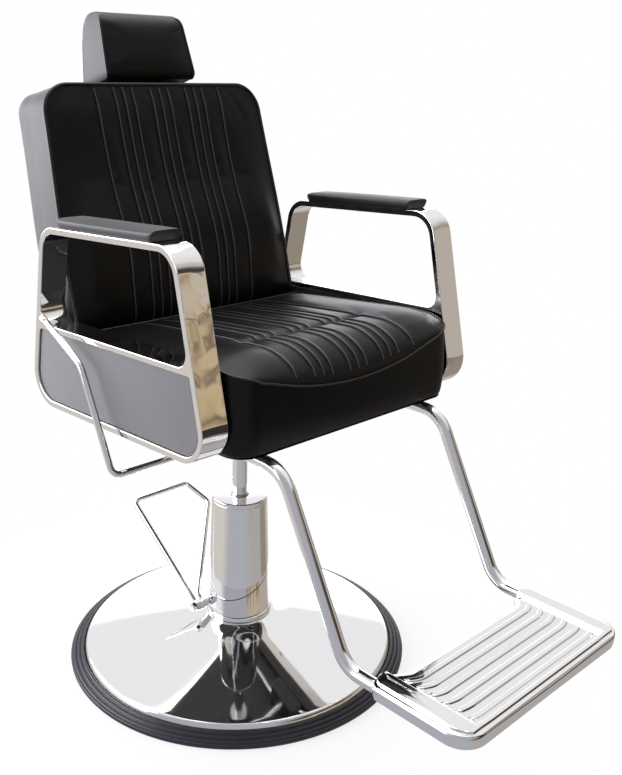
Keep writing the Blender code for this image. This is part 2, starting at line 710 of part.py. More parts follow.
mid_rail = ((MID_REAR_Y, MID_REAR_Z), (MID_FRONT_Y, MID_FRONT_Z))


def clip_below(outline, offset):
    """Keep the part of an outline that lies under the middle rail's line."""
    return clip(outline, lambda p: line_at(mid_rail, p[0]) + offset - p[1])


def clip_above(outline, offset):
    return clip(outline, lambda p: p[1] - line_at(mid_rail, p[0]) - offset)


def clip(outline, inside):
    kept = []
    for i, point in enumerate(outline):
        before = outline[i - 1]
        d0 = inside(before)
        d1 = inside(point)
        if (d0 >= 0) != (d1 >= 0):
            t = d0 / (d0 - d1)
            kept.append((before[0] + t * (point[0] - before[0]), before[1] + t * (point[1] - before[1])))
        if d1 >= 0:
            kept.append(point)
    return kept


arm_outline = list(ARM_CORNERS)
arm_inner = toward_middle(arm_outline, ARM_T)
upper_hole = rounded(clip_above(arm_inner, MID_T / 2.0), ARM_UPPER_RADII, 5)
lower_corners = clip_below(arm_inner, -MID_T / 2.0)
lower_hole = rounded(lower_corners, ARM_LOWER_RADII, 5)
arm_out = ARM_IN + ARM_WIDTH
arm = prism("arm_frame_left", rounded(arm_outline, ARM_RADII, 7), "X", ARM_IN, arm_out, CHROME)
cut(arm, prism_mesh("upper_hole", upper_hole, "X", ARM_IN - 0.02, arm_out + 0.02),
    prism_mesh("lower_hole", lower_hole, "X", ARM_IN - 0.02, arm_out + 0.02))
screw_z = [line_at((ARM_CORNERS[2], ARM_CORNERS[3]), y) for y in SCREW_Y]
screw_x = arm_out - PANEL_SINK - PANEL_T / 2.0
for y, z in zip(SCREW_Y, screw_z):
    cut(arm, drum_mesh("screw_hole", "Z", (screw_x, y), SCREW_R + RUN, z - 0.02, z + 0.03, 12))
soften(arm, ARM_SOFTENING, 1, 50.0)
mirrored(arm, "arm_frame_right", CHROME)
panel_radii = [r - PANEL_GAP for r in ARM_LOWER_RADII]
panel_outline = rounded(toward_middle(lower_corners, PANEL_GAP), panel_radii, 5)
panel_out = arm_out - PANEL_SINK
panel = prism("side_panel_left", panel_outline, "X", panel_out - PANEL_T, panel_out, LEATHER)
soften(panel, 0.0030, 1, 50.0)
for y, z in zip(SCREW_Y, screw_z):
    cut(panel, drum_mesh("screw_hole", "Z", (screw_x, y), SCREW_R + RUN, z - 0.02, z + 0.022, 12))
mirrored(panel, "side_panel_right", LEATHER)
for k, (y, z) in enumerate(zip(SCREW_Y, screw_z)):
    head = z - GAP - 0.0004
    screw = lathe("panel_screw_left_%d" % (k + 1),
                  [(0.0, head + 0.020), (SCREW_R, head + 0.020), (SCREW_R, head), (0.0062, head),
                   (0.0040, head - 0.0032), (0.0, head - 0.0038)], ZINC, 12, closed=False)
    screw.data.transform(Matrix.Translation((screw_x, y, 0.0)))
    mirrored(screw, "panel_screw_right_%d" % (k + 1), ZINC)

top_line = (ARM_CORNERS[0], ARM_CORNERS[1])
pad_mid = ARM_IN + ARM_WIDTH / 2.0 - 0.002


def pad_top(a, s):
    y = PAD_REAR + (PAD_FRONT - PAD_REAR) * s
    side = 1.0 - (abs(a) / PAD_HALF) ** 2.6
    end = smooth(0.0, 0.10, s) * (1.0 - 0.5 * smooth(0.95, 1.0, s))
    return y, PAD_T * (0.50 + 0.50 * side * (0.25 + 0.75 * end))


def pad_foot(a, s):
    y = PAD_REAR - 0.002 + (PAD_FRONT + 0.010 - PAD_REAR + 0.002) * s
    return a * 0.90, y, 0.0


def pad_place(a, y, h):
    return (pad_mid + a, y, line_at(top_line, y) + GAP + h)


def pad_half_at(s):
    """Half width of the pad, drawn in at both ends."""
    rear = 0.22 * (1.0 - smooth(0.0, 0.10, s))
    front = 0.08 * max(0.0, (s - 0.90) / 0.10) ** 2
    return PAD_HALF * (1.0 - rear - front)


pad_half = [PAD_HALF * t for t in (-0.40, -0.2, 0.2, 0.40)]
pad = boxed_cushion("arm_pad_left", pad_half, (0.6, 1.0), (0.0, 0.03, 0.10, 0.3, 0.6, 0.86, 0.95, 1.0),
                    pad_half_at, pad_top, pad_foot, 0.001, 2, pad_place, LEATHER)
mirrored(pad, "arm_pad_right", LEATHER)

# Footrest: two bent tubes clamped under the seat plate and a ribbed plate
tube_z = under - GAP - TUBE_R
tube_points = [(TUBE_X, y, tube_z + z) for y, z in TUBE_PATH[:2]]
tube_points += [(FOOT_TUBE_X, y, tube_z + z) for y, z in TUBE_PATH[2:]]
tube = bent_rod("foot_tube_left", tube_points, TUBE_BENDS, TUBE_R, CHROME, 6, 4)
mirrored(tube, "foot_tube_right", CHROME)
clamp_r = TUBE_R + GAP
for k, y in enumerate(CLAMP_Y):
    ring = [(clamp_r * math.cos(t), clamp_r * math.sin(t)) for t in
            [math.pi + math.pi * n / 8.0 for n in range(9)]]
    outer = [(x * (clamp_r + CLAMP_T) / clamp_r, z * (clamp_r + CLAMP_T) / clamp_r) for x, z in reversed(ring)]
    top = TUBE_R
    inner_line = [(-clamp_r, top)] + ring + [(clamp_r, top)]
    outer_line = [(clamp_r + CLAMP_EAR, top), (clamp_r + CLAMP_EAR, top - CLAMP_T),
                  (clamp_r + CLAMP_T, top - CLAMP_T)]
    outer_line += outer + [(-clamp_r - CLAMP_T, top - CLAMP_T), (-clamp_r - CLAMP_EAR, top - CLAMP_T),
                           (-clamp_r - CLAMP_EAR, top)]
    outline = [(TUBE_X + x, tube_z + z) for x, z in inner_line + outer_line]
    side = "front" if k else "rear"
    clamp = prism("foot_clamp_left_" + side, outline, "Y", y - CLAMP_HALF, y + CLAMP_HALF, ZINC)
    mirrored(clamp, "foot_clamp_right_" + side, ZINC)

FOOT_TOP = tube_z + TUBE_PATH[-1][1] + TUBE_R + FOOT_COVER
foot_mid = (FOOT_REAR + FOOT_FRONT) / 2.0
rib_rows = [0.16 + 0.66 * k / (FOOT_RIBS - 1) for k in range(FOOT_RIBS)]
foot_rows = {0.0, 0.03, 0.06, 0.09, 0.905, 0.94, 0.97, 1.0}
for r in rib_rows:
    foot_rows.update((round(r - 0.026, 4), round(r - 0.010, 4), round(r + 0.010, 4), round(r + 0.026, 4)))
foot_rows = sorted(foot_rows)


def foot_row(a, s):
    """Place along the plate; the rear edge stands back between the ears."""
    inside = FOOT_HALF - FOOT_BORDER
    rear = FOOT_REAR - FOOT_RECESS * (1.0 - smooth(inside - 0.035, inside, abs(a)))
    return rear + (FOOT_FRONT - rear) * s


def foot_half(s):
    """Half width of the plate, with round front corners."""
    past = max(0.0, (FOOT_REAR - FOOT_FRONT) * s - (FOOT_REAR - FOOT_FRONT - FOOT_CORNER))
    return FOOT_HALF - FOOT_CORNER + math.sqrt(max(FOOT_CORNER ** 2 - past ** 2, 0.0))


def foot_top(a, s):
    y = foot_row(a, s)
    half = foot_half(s)
    rim_side = smooth(FOOT_HALF - FOOT_BORDER - 0.009, FOOT_HALF - FOOT_BORDER, abs(a))
    rim_front = smooth(0.895, 0.935, s)
    rim = max(rim_side, rim_front)
    fall = 0.004 * smooth(half - 0.006, half, abs(a)) + 0.004 * smooth(0.965, 1.0, s)
    z = FOOT_TOP - TREAD_DROP * (1.0 - rim) - fall
    rib_end = 1.0 - smooth(tread_end, tread_end + 0.008, abs(a))
    for r in rib_rows:
        z += RIB_H * rib_end * (1.0 - smooth(0.010, 0.026, abs(s - r)))
    z -= 0.004 * (1.0 - smooth(0.0, 0.07, s)) * (1.0 - rim_side)
    return y, z


def foot_foot(a, s):
    y = foot_row(a, s)
    return a * 0.994, foot_mid + (y - foot_mid) * 0.985, FOOT_TOP - FOOT_DEPTH


tread_end = FOOT_HALF - FOOT_BORDER - 0.014
tread_half = (tread_end - 0.019, tread_end, tread_end + 0.008)
tread_columns = [-a for a in reversed(tread_half)] + list(tread_half)
foot = boxed_cushion("foot_plate", tread_columns,
                     (0.12, 0.30, 0.86, 1.0), foot_rows, foot_half, foot_top, foot_foot, 0.0018, 3,
                     lambda a, b, h: (a, b, h), CHROME)
hollow = rounded(box_outline(-FOOT_HALF + FOOT_WALL, FOOT_HALF - FOOT_WALL, FOOT_FRONT + 0.006,
                             FOOT_REAR - FOOT_RECESS - 0.005), (0.033, 0.033, 0.004, 0.004), 4)
tread_low = FOOT_TOP - TREAD_DROP - TREAD_T
cut(foot, prism_mesh("foot_hollow", hollow, "Z", FOOT_TOP - FOOT_DEPTH - 0.01, tread_low))
for side in (-1, 1):
    middle = side * FOOT_TUBE_X
    way = box_outline(middle - TUBE_R - 0.0012, middle + TUBE_R + 0.0012, FOOT_FRONT + 0.060, FOOT_REAR - 0.005)
    cut(foot, prism_mesh("tube_way", way, "Z", FOOT_TOP - FOOT_DEPTH - 0.01, FOOT_TOP - FOOT_COVER + 0.0008))
bore_z = tube_z + TUBE_PATH[-1][1]
for side in (-1, 1):
    cut(foot, drum_mesh("tube_hole", "Y", (side * FOOT_TUBE_X, bore_z), TUBE_R + RUN, FOOT_REAR - 0.02,
                        FOOT_REAR + 0.02, 24))

# Hinge of the back: lugs on the seat plate, pins, and arms that carry the back
lug_r = 0.016
lug_outline = [(PIVOT_Y - 0.030, SEAT_Z + GAP), (PIVOT_Y + 0.030, SEAT_Z + GAP), (PIVOT_Y + lug_r, PIVOT_Z)]
lug_outline += [(PIVOT_Y + lug_r * math.cos(t), PIVOT_Z + lug_r * math.sin(t)) for t in
                [math.pi * n / 8.0 for n in range(1, 8)]]
lug_outline.append((PIVOT_Y - lug_r, PIVOT_Z))
lug_x = HINGE_X + HINGE_T / 2.0 + 0.002
lug = prism("hinge_lug_left", lug_outline, "X", lug_x, lug_x + HINGE_T, STEEL)
cut(lug, drum_mesh("lug_hole", "X", (PIVOT_Y, PIVOT_Z), PIVOT_R + GAP, lug_x - 0.01, lug_x + 0.02, 20))
mirrored(lug, "hinge_lug_right", STEEL)
pin_in = HINGE_X - HINGE_T / 2.0 - 0.002
pin_out = lug_x + HINGE_T
pin_profile = [(0.0, pin_in), (PIVOT_R, pin_in), (PIVOT_R, pin_out + GAP), (PIVOT_R + 0.004, pin_out + GAP),
               (PIVOT_R + 0.004, pin_out + 0.004), (0.0, pin_out + 0.005)]
pin = lathe("hinge_pin_left", pin_profile, ZINC, 20, closed=False)
pin.data.transform(Matrix.Translation((0.0, PIVOT_Y, PIVOT_Z)) @ Matrix.Rotation(math.pi / 2, 4, "Y"))
bm = bmesh.new()
bm.from_mesh(pin.data)
look = pin.data.materials[0]
pin.data = to_mesh(bm, "hinge_pin_left")
pin.data.materials.append(look)
mirrored(pin, "hinge_pin_right", ZINC)

pocket_rear = -BACK_REAR - TRAY_WALL
board_rear = pocket_rear - GAP
board_front = board_rear - BOARD_T
arm_low = (-HINGE_X - HINGE_T / 2.0, -HINGE_X + HINGE_T / 2.0)
arm_half_w = 0.0066
strap_rear = board_front - GAP
eye = [(0.012 * math.cos(t), 0.012 * math.sin(t)) for t in [math.pi + math.pi * n / 10.0 for n in range(11)]]
strap_outline = eye + [(0.012, 0.012), (strap_rear, BACK_LOW - 0.004), (strap_rear, STRAP_HIGH),
                       (-arm_half_w, STRAP_HIGH), (-arm_half_w, 0.020), (-0.012, 0.012)]
hinge_right = prism("hinge_arm_right", strap_outline, "X", arm_low[0], arm_low[1], STEEL)
cut(hinge_right, drum_mesh("arm_hole", "X", (0.0, 0.0), PIVOT_R + RUN, -HINGE_X - 0.02, -HINGE_X + 0.02, 20))
lean(hinge_right)
crank_way = Vector((math.sin(CRANK_SWING + BACK_TILT) * 1.0, -math.cos(CRANK_SWING + BACK_TILT)))
crank_end = crank_way * CRANK
side_way = Vector((-crank_way.y, crank_way.x))
tip = [crank_end + side_way * (0.009 * math.cos(t)) + crank_way * (0.009 * math.sin(t)) for t in
       [math.pi * n / 8.0 for n in range(9)]]
crank_outline = [(-0.012, 0.012), (-arm_half_w, 0.020), (-arm_half_w, STRAP_HIGH), (strap_rear, STRAP_HIGH),
                 (strap_rear, BACK_LOW - 0.004), (0.0135, 0.012)]
crank_outline += [tuple(p) for p in tip]
crank_outline.append((-0.0120, -0.006))
hinge_left = prism("hinge_arm_left", crank_outline, "X", HINGE_X - HINGE_T / 2.0, HINGE_X + HINGE_T / 2.0,
                   STEEL)
cut(hinge_left, drum_mesh("arm_hole", "X", (0.0, 0.0), PIVOT_R + RUN, HINGE_X - 0.02, HINGE_X + 0.02, 20))
pin_hole = (crank_end.x, crank_end.y)
cut(hinge_left, drum_mesh("pin_hole", "X", pin_hole, CRANK_PIN_R + GAP, HINGE_X - 0.02, HINGE_X + 0.02, 16))
lean(hinge_left)
pin_y = PIVOT_Y + CRANK * math.sin(CRANK_SWING)
pin_z = PIVOT_Z - CRANK * math.cos(CRANK_SWING)
drum("crank_pin", "X", (pin_y, pin_z), CRANK_PIN_R, LOCK_X - 0.007, HINGE_X + HINGE_T / 2.0, ZINC, 16)

# Back: a shallow tray with a board inside it, and the channelled cushion in front


def back_half(v):
    """Half width of the back at a height, narrowing upwards with round top corners."""
    half = BACK_HALF + (BACK_TOP_HALF - BACK_HALF) * smooth(0.16, BACK_HIGH + 0.016, v)
    past = max(0.0, v - (BACK_HIGH - BACK_CORNER))
    return half - BACK_CORNER + math.sqrt(max(BACK_CORNER ** 2 - past ** 2, 0.0))


def back_lift(v):
    return BACK_RISE * smooth(BACK_HIGH - 0.15, BACK_HIGH, v)


def back_outline(inset):
    steps = [BACK_LOW + (BACK_HIGH - BACK_CORNER - BACK_LOW) * k / 6.0 for k in range(7)]
    steps += [BACK_HIGH - BACK_CORNER + BACK_CORNER * math.sin(math.pi / 2 * k / 6.0) for k in range(1, 7)]
    right = []
    for v in steps:
        height = min(max(v, BACK_LOW + inset), BACK_HIGH - inset)
        right.append((back_half(v) - inset, height + back_lift(v)))
    return right + [(-a, v) for a, v in reversed(right)]


def tidy_outline(outline):
    kept = []
    for p in outline:
        if not kept or (Vector(p) - Vector(kept[-1])).length > 0.0005:
            kept.append(p)
    return kept


shell = prism("back_shell", tidy_outline(back_outline(0.0015)), "Y", -TRAY_FRONT, -BACK_REAR, LEATHER)
soften(shell, 0.007, 2, 60.0)
cut(shell, prism_mesh("pocket", tidy_outline(back_outline(0.0125)), "Y", -TRAY_FRONT - 0.01, pocket_rear))
slot_top = BACK_HIGH + 0.02
for side in (-1, 1):
    way = box_outline(side * BAR_X - BAR_W / 2 - 0.001, side * BAR_X + BAR_W / 2 + 0.001, -BAR_T / 2 - 0.001,
                      BAR_T / 2 + 0.001)
    cut(shell, prism_mesh("bar_slot", way, "Z", BACK_HIGH - 0.034, slot_top))
    hole_x = (side * HINGE_X - HINGE_T / 2 - 0.001, side * HINGE_X + HINGE_T / 2 + 0.001)
    hole = box_outline(hole_x[0], hole_x[1], -arm_half_w - 0.001, strap_rear + 0.001)
    cut(shell, prism_mesh("arm_slot", hole, "Z", BACK_LOW - 0.02, BACK_LOW + 0.025))
lean(shell)
board_half = BACK_HALF - BOARD_INSET
board_outline = box_outline(-board_half, board_half, BACK_LOW + 0.016, BOARD_HIGH)
board = prism("back_board", board_outline, "Y", board_front, board_rear, WOOD)
soften(board, 0.001, 1)
lean(board)
guide = prism("bar_guide_left", box_outline(BAR_X - BAR_W / 2 - 0.003, BAR_X + BAR_W / 2 + 0.003,
                                            -BAR_T / 2 - 0.0024, board_front - GAP), "Z", GUIDE_LOW,
              BOARD_HIGH, ZINC)
guide_way = box_outline(BAR_X - BAR_W / 2 - RUN, BAR_X + BAR_W / 2 + RUN, -BAR_T / 2 - RUN, BAR_T / 2 + RUN)
cut(guide, prism_mesh("guide_bore", guide_way, "Z", GUIDE_LOW - 0.1, BOARD_HIGH + 0.1))
lean(guide)
mirrored(guide, "bar_guide_right", ZINC)


def back_top(a, v):
    half = back_half(v)
    side = 1.0 - smooth(0.78, 1.0, abs(a) / half)
    ends = smooth(BACK_LOW, BACK_LOW + 0.07, v) * (1.0 - smooth(BACK_HIGH - 0.055, BACK_HIGH, v))
    swell = 0.0066 * side * ends
    swell += 0.018 * side * math.exp(-((v - 0.195) / 0.090) ** 2) * ends
    swell -= 0.016 * (1.0 - smooth(BACK_LOW, BACK_LOW + 0.055, v))
    line = channel(a, 0.0045) * smooth(BACK_LOW, BACK_LOW + 0.05, v)
    line *= 1.0 - 0.7 * smooth(BACK_HIGH - 0.023, BACK_HIGH, v)
    return v, BACK_FRONT + swell - line


def back_foot(a, v):
    return a * 0.996, v + 0.002 * (0.25 - v) / 0.25 + 0.6 * back_lift(v), TRAY_FRONT + GAP


back_rows = [BACK_LOW + d for d in (0.0, 0.015, 0.045, 0.080, 0.120, 0.160, 0.205, 0.260, 0.320)]
back_rows += [BACK_HIGH - d for d in (0.078, 0.050, 0.028, 0.012, 0.0035, 0.0)]
back_columns = channel_columns(BACK_TOP_HALF - BACK_CORNER - BACK_MARGIN)
boxed_cushion("back_cushion", back_columns, (0.45, 0.8, 1.0), back_rows, back_half, back_top, back_foot,
              -0.0015, 3, back_place, LEATHER)

# Headrest: padded block on a wedge neck, with two flat bars that slide in the guides
for side, word in ((1, "left"), (-1, "right")):
    section = box_outline(side * BAR_X - BAR_W / 2, side * BAR_X + BAR_W / 2, -BAR_T / 2, BAR_T / 2)
    bar = prism("headrest_bar_" + word, section, "Z", GUIDE_LOW + 0.005, HEAD_LOW - NECK_H, ZINC)
    lean(bar)
neck_low = HEAD_LOW - NECK_H + GAP
neck_top = HEAD_LOW - GAP
neck_high = HEAD_LOW + NECK_RISE
neck_lip = NECK_REAR - NECK_LIP
neck_outline = [(NECK_REAR, neck_low), (NECK_REAR, neck_high), (neck_lip, neck_high), (NECK_STEP, neck_top),
                (-NECK_FRONT, neck_top), (-NECK_FRONT, neck_low)]
neck = prism("headrest_neck", neck_outline, "X", -NECK_HALF, NECK_HALF, LEATHER)
lean(neck)


def head_half(v):
    t = (v - HEAD_LOW) / (HEAD_HIGH - HEAD_LOW)
    start = max(0.0, 0.12 - t) / 0.12
    end = max(0.0, t - 0.90) / 0.10
    return HEAD_HALF + (HEAD_TOP_HALF - HEAD_HALF) * t - 0.004 * start * start - 0.002 * end * end


def round_over(share, radius):
    """How far a round edge of this radius has turned away."""
    return radius * (1.0 - math.sqrt(max(0.0, 1.0 - min(1.0, max(0.0, share)) ** 2)))


def head_top(a, v):
    t = (v - HEAD_LOW) / (HEAD_HIGH - HEAD_LOW)
    side = 1.0 - smooth(0.70, 1.0, abs(a) / head_half(v))
    ends = smooth(0.0, 0.22, t) * (1.0 - smooth(0.72, 1.0, t))
    low = HEAD_FOOT_ROUND / (HEAD_HIGH - HEAD_LOW)
    high = HEAD_ROUND / (HEAD_HIGH - HEAD_LOW)
    turned = round_over((t - 1.0 + high) / high, HEAD_ROUND) + round_over((low - t) / low, HEAD_FOOT_ROUND)
    return v, HEAD_FRONT - HEAD_TAPER * t - turned + HEAD_CROWN * side * ends


def head_foot(a, v):
    t = (v - HEAD_LOW) / (HEAD_HIGH - HEAD_LOW)
    return a * 0.98, HEAD_LOW + 0.002 + (HEAD_HIGH - HEAD_LOW - 0.016) * t, HEAD_REAR_TAPER * t - HEAD_REAR


head_shares = (0.0, 0.015, 0.05, 0.11, 0.3, 0.55, 0.77, 0.85, 0.91, 0.96, 0.99, 1.0)
head_rows = [HEAD_LOW + (HEAD_HIGH - HEAD_LOW) * t for t in head_shares]
head_columns = [HEAD_TOP_HALF * t for t in (-0.62, -0.3, 0.0, 0.3, 0.62)]
head = boxed_cushion("headrest_pad", head_columns, (0.45, 0.8, 1.0), head_rows, head_half, head_top, head_foot,
                     0.003, 3, back_place, LEATHER)
rise_by = NECK_RISE / (neck_lip - NECK_STEP)
wedge_rear = NECK_REAR * 1.8
wedge_high = neck_high + GAP + rise_by * (wedge_rear - neck_lip + GAP)
wedge_low = HEAD_LOW - NECK_H * 3.0
wedge_outline = [(wedge_rear, wedge_low), (wedge_rear, wedge_high), (neck_lip - GAP, neck_high + GAP),
                 (NECK_STEP - 0.0004, HEAD_LOW), (-NECK_FRONT - 0.0005, HEAD_LOW),
                 (-NECK_FRONT - 0.0005, wedge_low)]
wedge = prism_mesh("wedge", wedge_outline, "X", -HEAD_HALF * 2.0, HEAD_HALF * 2.0)
move = Matrix.Translation((0.0, PIVOT_Y, PIVOT_Z)) @ Matrix.Rotation(-BACK_TILT, 4, "X")
wedge.transform(move)
cut(head, wedge)

# Recline lock: a rod that the crank pulls through a clamp box, and the lever that frees it
box_y = (LEVER_Y - 0.038, LEVER_Y + 0.046)
lock_z = pin_z - CRANK * (1.0 - math.cos(CRANK_SWING)) / 2.0
lock_outline = box_outline(LOCK_X - LOCK_SIDE, TUBE_X - TUBE_R - 0.0045, box_y[0], box_y[1])
lock = prism("lock_box", lock_outline, "Z", LEVER_Z - 0.016, under - GAP, STEEL)
soften(lock, 0.002, 1, 60.0)
cut(lock, drum_mesh("rod_bore", "Y", (LOCK_X, lock_z), LOCK_ROD_R + RUN, box_y[0] - 0.02, box_y[1] + 0.02, 20),
    drum_mesh("lever_bore", "X", (LEVER_Y, LEVER_Z), LEVER_R + RUN, LOCK_X - 0.05, LOCK_X, 20))
eye_y = (pin_y - EYE_HALF, pin_y + EYE_HALF)
eye_z = (lock_z - EYE_HALF_H, lock_z + EYE_HALF_H)
slot_half = CRANK * (1.0 - math.cos(CRANK_SWING)) / 2.0 + CRANK_PIN_R + 0.0006
rod = drum("lock_rod", "Y", (LOCK_X, lock_z), LOCK_ROD_R, LEVER_Y - LOCK_TAIL, eye_y[0] + 0.0002, ZINC, 20)
eye_outline = box_outline(eye_y[0], eye_y[1], eye_z[0], eye_z[1])
eye_mesh = prism_mesh("eye", eye_outline, "X", LOCK_X - EYE_HALF_T, LOCK_X + EYE_HALF_T)
tool = bpy.data.objects.new("eye", eye_mesh)
bpy.context.scene.collection.objects.link(tool)
join = rod.modifiers.new("join", "BOOLEAN")
join.operation = "UNION"
join.solver = "EXACT"
join.object = tool
bake(rod)
bpy.data.objects.remove(tool, do_unlink=True)
slot = rounded(box_outline(pin_y - CRANK_PIN_R - 0.0006, pin_y + CRANK_PIN_R + 0.0006, lock_z - slot_half,
                           lock_z + slot_half), (0.002, 0.002, 0.002, 0.002), 3)
cut(rod, prism_mesh("slot", slot, "X", LOCK_X - 0.02, LOCK_X + 0.02))

bracket_x = (-LOCK_X, -LOCK_X + BRACKET_T)
bracket_top = under - GAP
bracket = prism("lever_bracket", [(LEVER_Y - 0.022, bracket_top), (LEVER_Y - 0.012, LEVER_Z - 0.006),
                                  (LEVER_Y - 0.006, LEVER_Z - 0.012), (LEVER_Y + 0.006, LEVER_Z - 0.012),
                                  (LEVER_Y + 0.012, LEVER_Z - 0.006), (LEVER_Y + 0.022, bracket_top)], "X",
                bracket_x[0], bracket_x[1], ZINC)
cut(bracket, drum_mesh("lever_bore", "X", (LEVER_Y, LEVER_Z), LEVER_R + RUN, bracket_x[0] - 0.02,
                       bracket_x[1] + 0.02, 20))
lever_points = [(LOCK_X - 0.006, LEVER_Y, LEVER_Z), (LEVER_X, LEVER_Y, LEVER_Z), (LEVER_X, *LEVER_BEND),
                (LEVER_X, *LEVER_END)]
bent_rod("recline_lever", lever_points, (0.016, 0.034), LEVER_R, CHROME, 5, 3)
tip_way = Vector((0.0, LEVER_END[0] - LEVER_BEND[0], LEVER_END[1] - LEVER_BEND[1])).normalized()
cap_profile = [(0.0, 0.016), (0.0036, 0.0148), (0.0060, 0.011), (0.0066, 0.004), (0.0062, GAP), (0.0, GAP)]
cap = lathe("lever_cap", cap_profile, CHROME, 20, closed=False)
cap_turn = tip_way.to_track_quat("Z", "Y").to_matrix().to_4x4()
cap.data.transform(Matrix.Translation((LEVER_X, *LEVER_END)) @ cap_turn)

for piece in parts.objects:
    piece.data.update()
print("pieces", len(parts.objects))
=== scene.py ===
# %% [markdown]
# # A barber chair, dressed piece by piece
#
# The measured solids of the chair come first. They are the frame: every finished piece below sits where its
# solid sits and rides on the same moving body, so the chair can pump, swivel and recline afterwards.

# %% Load the measured frame
import json
import math

import bmesh
import bpy
import numpy as np
from mathutils import Matrix, Vector

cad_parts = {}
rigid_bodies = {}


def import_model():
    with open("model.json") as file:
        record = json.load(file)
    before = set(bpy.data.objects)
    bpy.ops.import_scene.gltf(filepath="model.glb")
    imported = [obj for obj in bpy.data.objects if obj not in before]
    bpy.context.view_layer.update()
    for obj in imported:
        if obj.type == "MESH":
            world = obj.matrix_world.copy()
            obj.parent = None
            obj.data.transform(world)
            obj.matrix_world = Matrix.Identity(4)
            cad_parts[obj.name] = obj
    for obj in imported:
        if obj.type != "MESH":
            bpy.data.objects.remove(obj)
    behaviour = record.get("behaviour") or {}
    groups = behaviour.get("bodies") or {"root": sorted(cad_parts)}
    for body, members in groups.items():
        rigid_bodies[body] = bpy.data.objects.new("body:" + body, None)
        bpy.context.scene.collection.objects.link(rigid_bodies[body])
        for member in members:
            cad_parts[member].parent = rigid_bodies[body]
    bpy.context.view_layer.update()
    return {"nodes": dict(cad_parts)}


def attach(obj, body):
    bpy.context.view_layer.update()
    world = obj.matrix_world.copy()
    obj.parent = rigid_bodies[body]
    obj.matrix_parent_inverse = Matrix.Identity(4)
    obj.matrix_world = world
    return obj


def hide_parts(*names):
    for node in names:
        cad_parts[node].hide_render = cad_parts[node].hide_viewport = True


for leftover in list(bpy.data.objects):
    bpy.data.objects.remove(leftover, do_unlink=True)
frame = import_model()

# %% [markdown]
# ## The camera
#
# A product picture is taken from a little above the seat, from the sitter's right. The lens and the place
# were found by fitting one pinhole camera to the rim, the column, the arms and the footrest, so nothing has
# to be moved by eye.

# %% Camera
CAMERA_PLACE = (-1.09659, -1.27868, 1.12203)
CAMERA_TURN = (71.0333, -1.726, -44.449)
LENS = 44.74


def linked(name, data):
    """A new object in the scene, at the origin."""
    obj = bpy.data.objects.new(name, data)
    bpy.context.scene.collection.objects.link(obj)
    return obj


camera = linked("camera", bpy.data.cameras.new("camera"))
camera.location = CAMERA_PLACE
camera.rotation_euler = [math.radians(a) for a in CAMERA_TURN]
camera.data.lens = LENS
camera.data.sensor_width = 36.0
camera.data.clip_end = 60.0
bpy.context.scene.camera = camera
bpy.context.scene.view_settings.view_transform = "Standard"
print("camera", [round(c, 3) for c in camera.location])

# %% [markdown]
# ## Node helpers
#
# Every finish is a small node tree. Short helpers keep the trees readable: they start a material, add a
# node with its settings, join two sockets, and make the few pairs of nodes that nearly every finish needs.


# %% Node helpers
def start_finish(name):
    """A new material with its Principled shader."""
    finish = bpy.data.materials.new(name)
    finish.use_nodes = True
    return finish, finish.node_tree, finish.node_tree.nodes["Principled BSDF"]


def add(tree, kind, values=None, **settings):
    """One node; values fill its input sockets by name or number."""
    node = tree.nodes.new(kind)
    for key, value in settings.items():
        setattr(node, key, value)
    for key, value in (values or {}).items():
        node.inputs[key].default_value = value
    return node


def join(tree, source, target):
    """A link from one node's output to another node's input."""
    tree.links.new(source, target)


def over(tree, share, below, colour):
    """Lay a colour over another one; each may be a colour or a socket."""
    node = add(tree, "ShaderNodeMix", data_type="RGBA")
    join(tree, share, node.inputs["Factor"])
    for socket, value in ((node.inputs["A"], below), (node.inputs["B"], colour)):
        if isinstance(value, tuple):
            socket.default_value = (*value, 1.0)
        else:
            join(tree, value, socket)
    return node.outputs["Result"]


print("node helpers ready")


# %% Texture helpers
def own_place(tree):
    """The object's own coordinates."""
    return add(tree, "ShaderNodeTexCoord").outputs["Object"]


def noise(tree, where, scale, detail, distortion=0.0):
    """A cloud of values from 0 to 1."""
    node = add(tree, "ShaderNodeTexNoise", {"Scale": scale, "Detail": detail, "Distortion": distortion})
    join(tree, where, node.inputs["Vector"])
    return node.outputs["Fac"]


def spread(tree, value, low, high, start=0.0, end=1.0, kind="LINEAR"):
    """Map a value that runs from start to end onto a range."""
    limits = {"From Min": start, "From Max": end, "To Min": low, "To Max": high}
    node = add(tree, "ShaderNodeMapRange", limits, interpolation_type=kind)
    join(tree, value, node.inputs["Value"])
    return node.outputs["Result"]


def dents(tree, height, strength, distance, before=None):
    """A bump from a height texture, on top of an earlier bump."""
    node = add(tree, "ShaderNodeBump", {"Strength": strength, "Distance": distance})
    join(tree, height, node.inputs["Height"])
    if before is not None:
        join(tree, before, node.inputs["Normal"])
    return node.outputs["Normal"]


print("texture helpers ready")

# %% [markdown]
# ## Chrome
#
# Plated steel is a mirror, so what it shows is the room. Two things keep it from looking like a computer
# mirror: the polish differs a little from place to place, and the sheet under the plating is never quite
# flat, which bends the reflections into slow waves. The flat arm bars are the waviest, the turned parts the
# least.


# %% Chrome
CHROME_TINT = (0.90, 0.895, 0.89, 1.0)
POLISH = (0.02, 0.075)
SWELL_DEEP = 0.02


def chrome_finish(name, wave, wave_scale):
    """Plated steel; wave is how strong its swells are and wave_scale how close together."""
    finish, tree, shader = start_finish(name)
    where = own_place(tree)
    join(tree, spread(tree, noise(tree, where, 14.0, 4.0), *POLISH), shader.inputs["Roughness"])
    join(tree, dents(tree, noise(tree, where, wave_scale, 1.0), wave, SWELL_DEEP), shader.inputs["Normal"])
    shader.inputs["Metallic"].default_value = 1.0
    shader.inputs["Base Color"].default_value = CHROME_TINT
    return finish


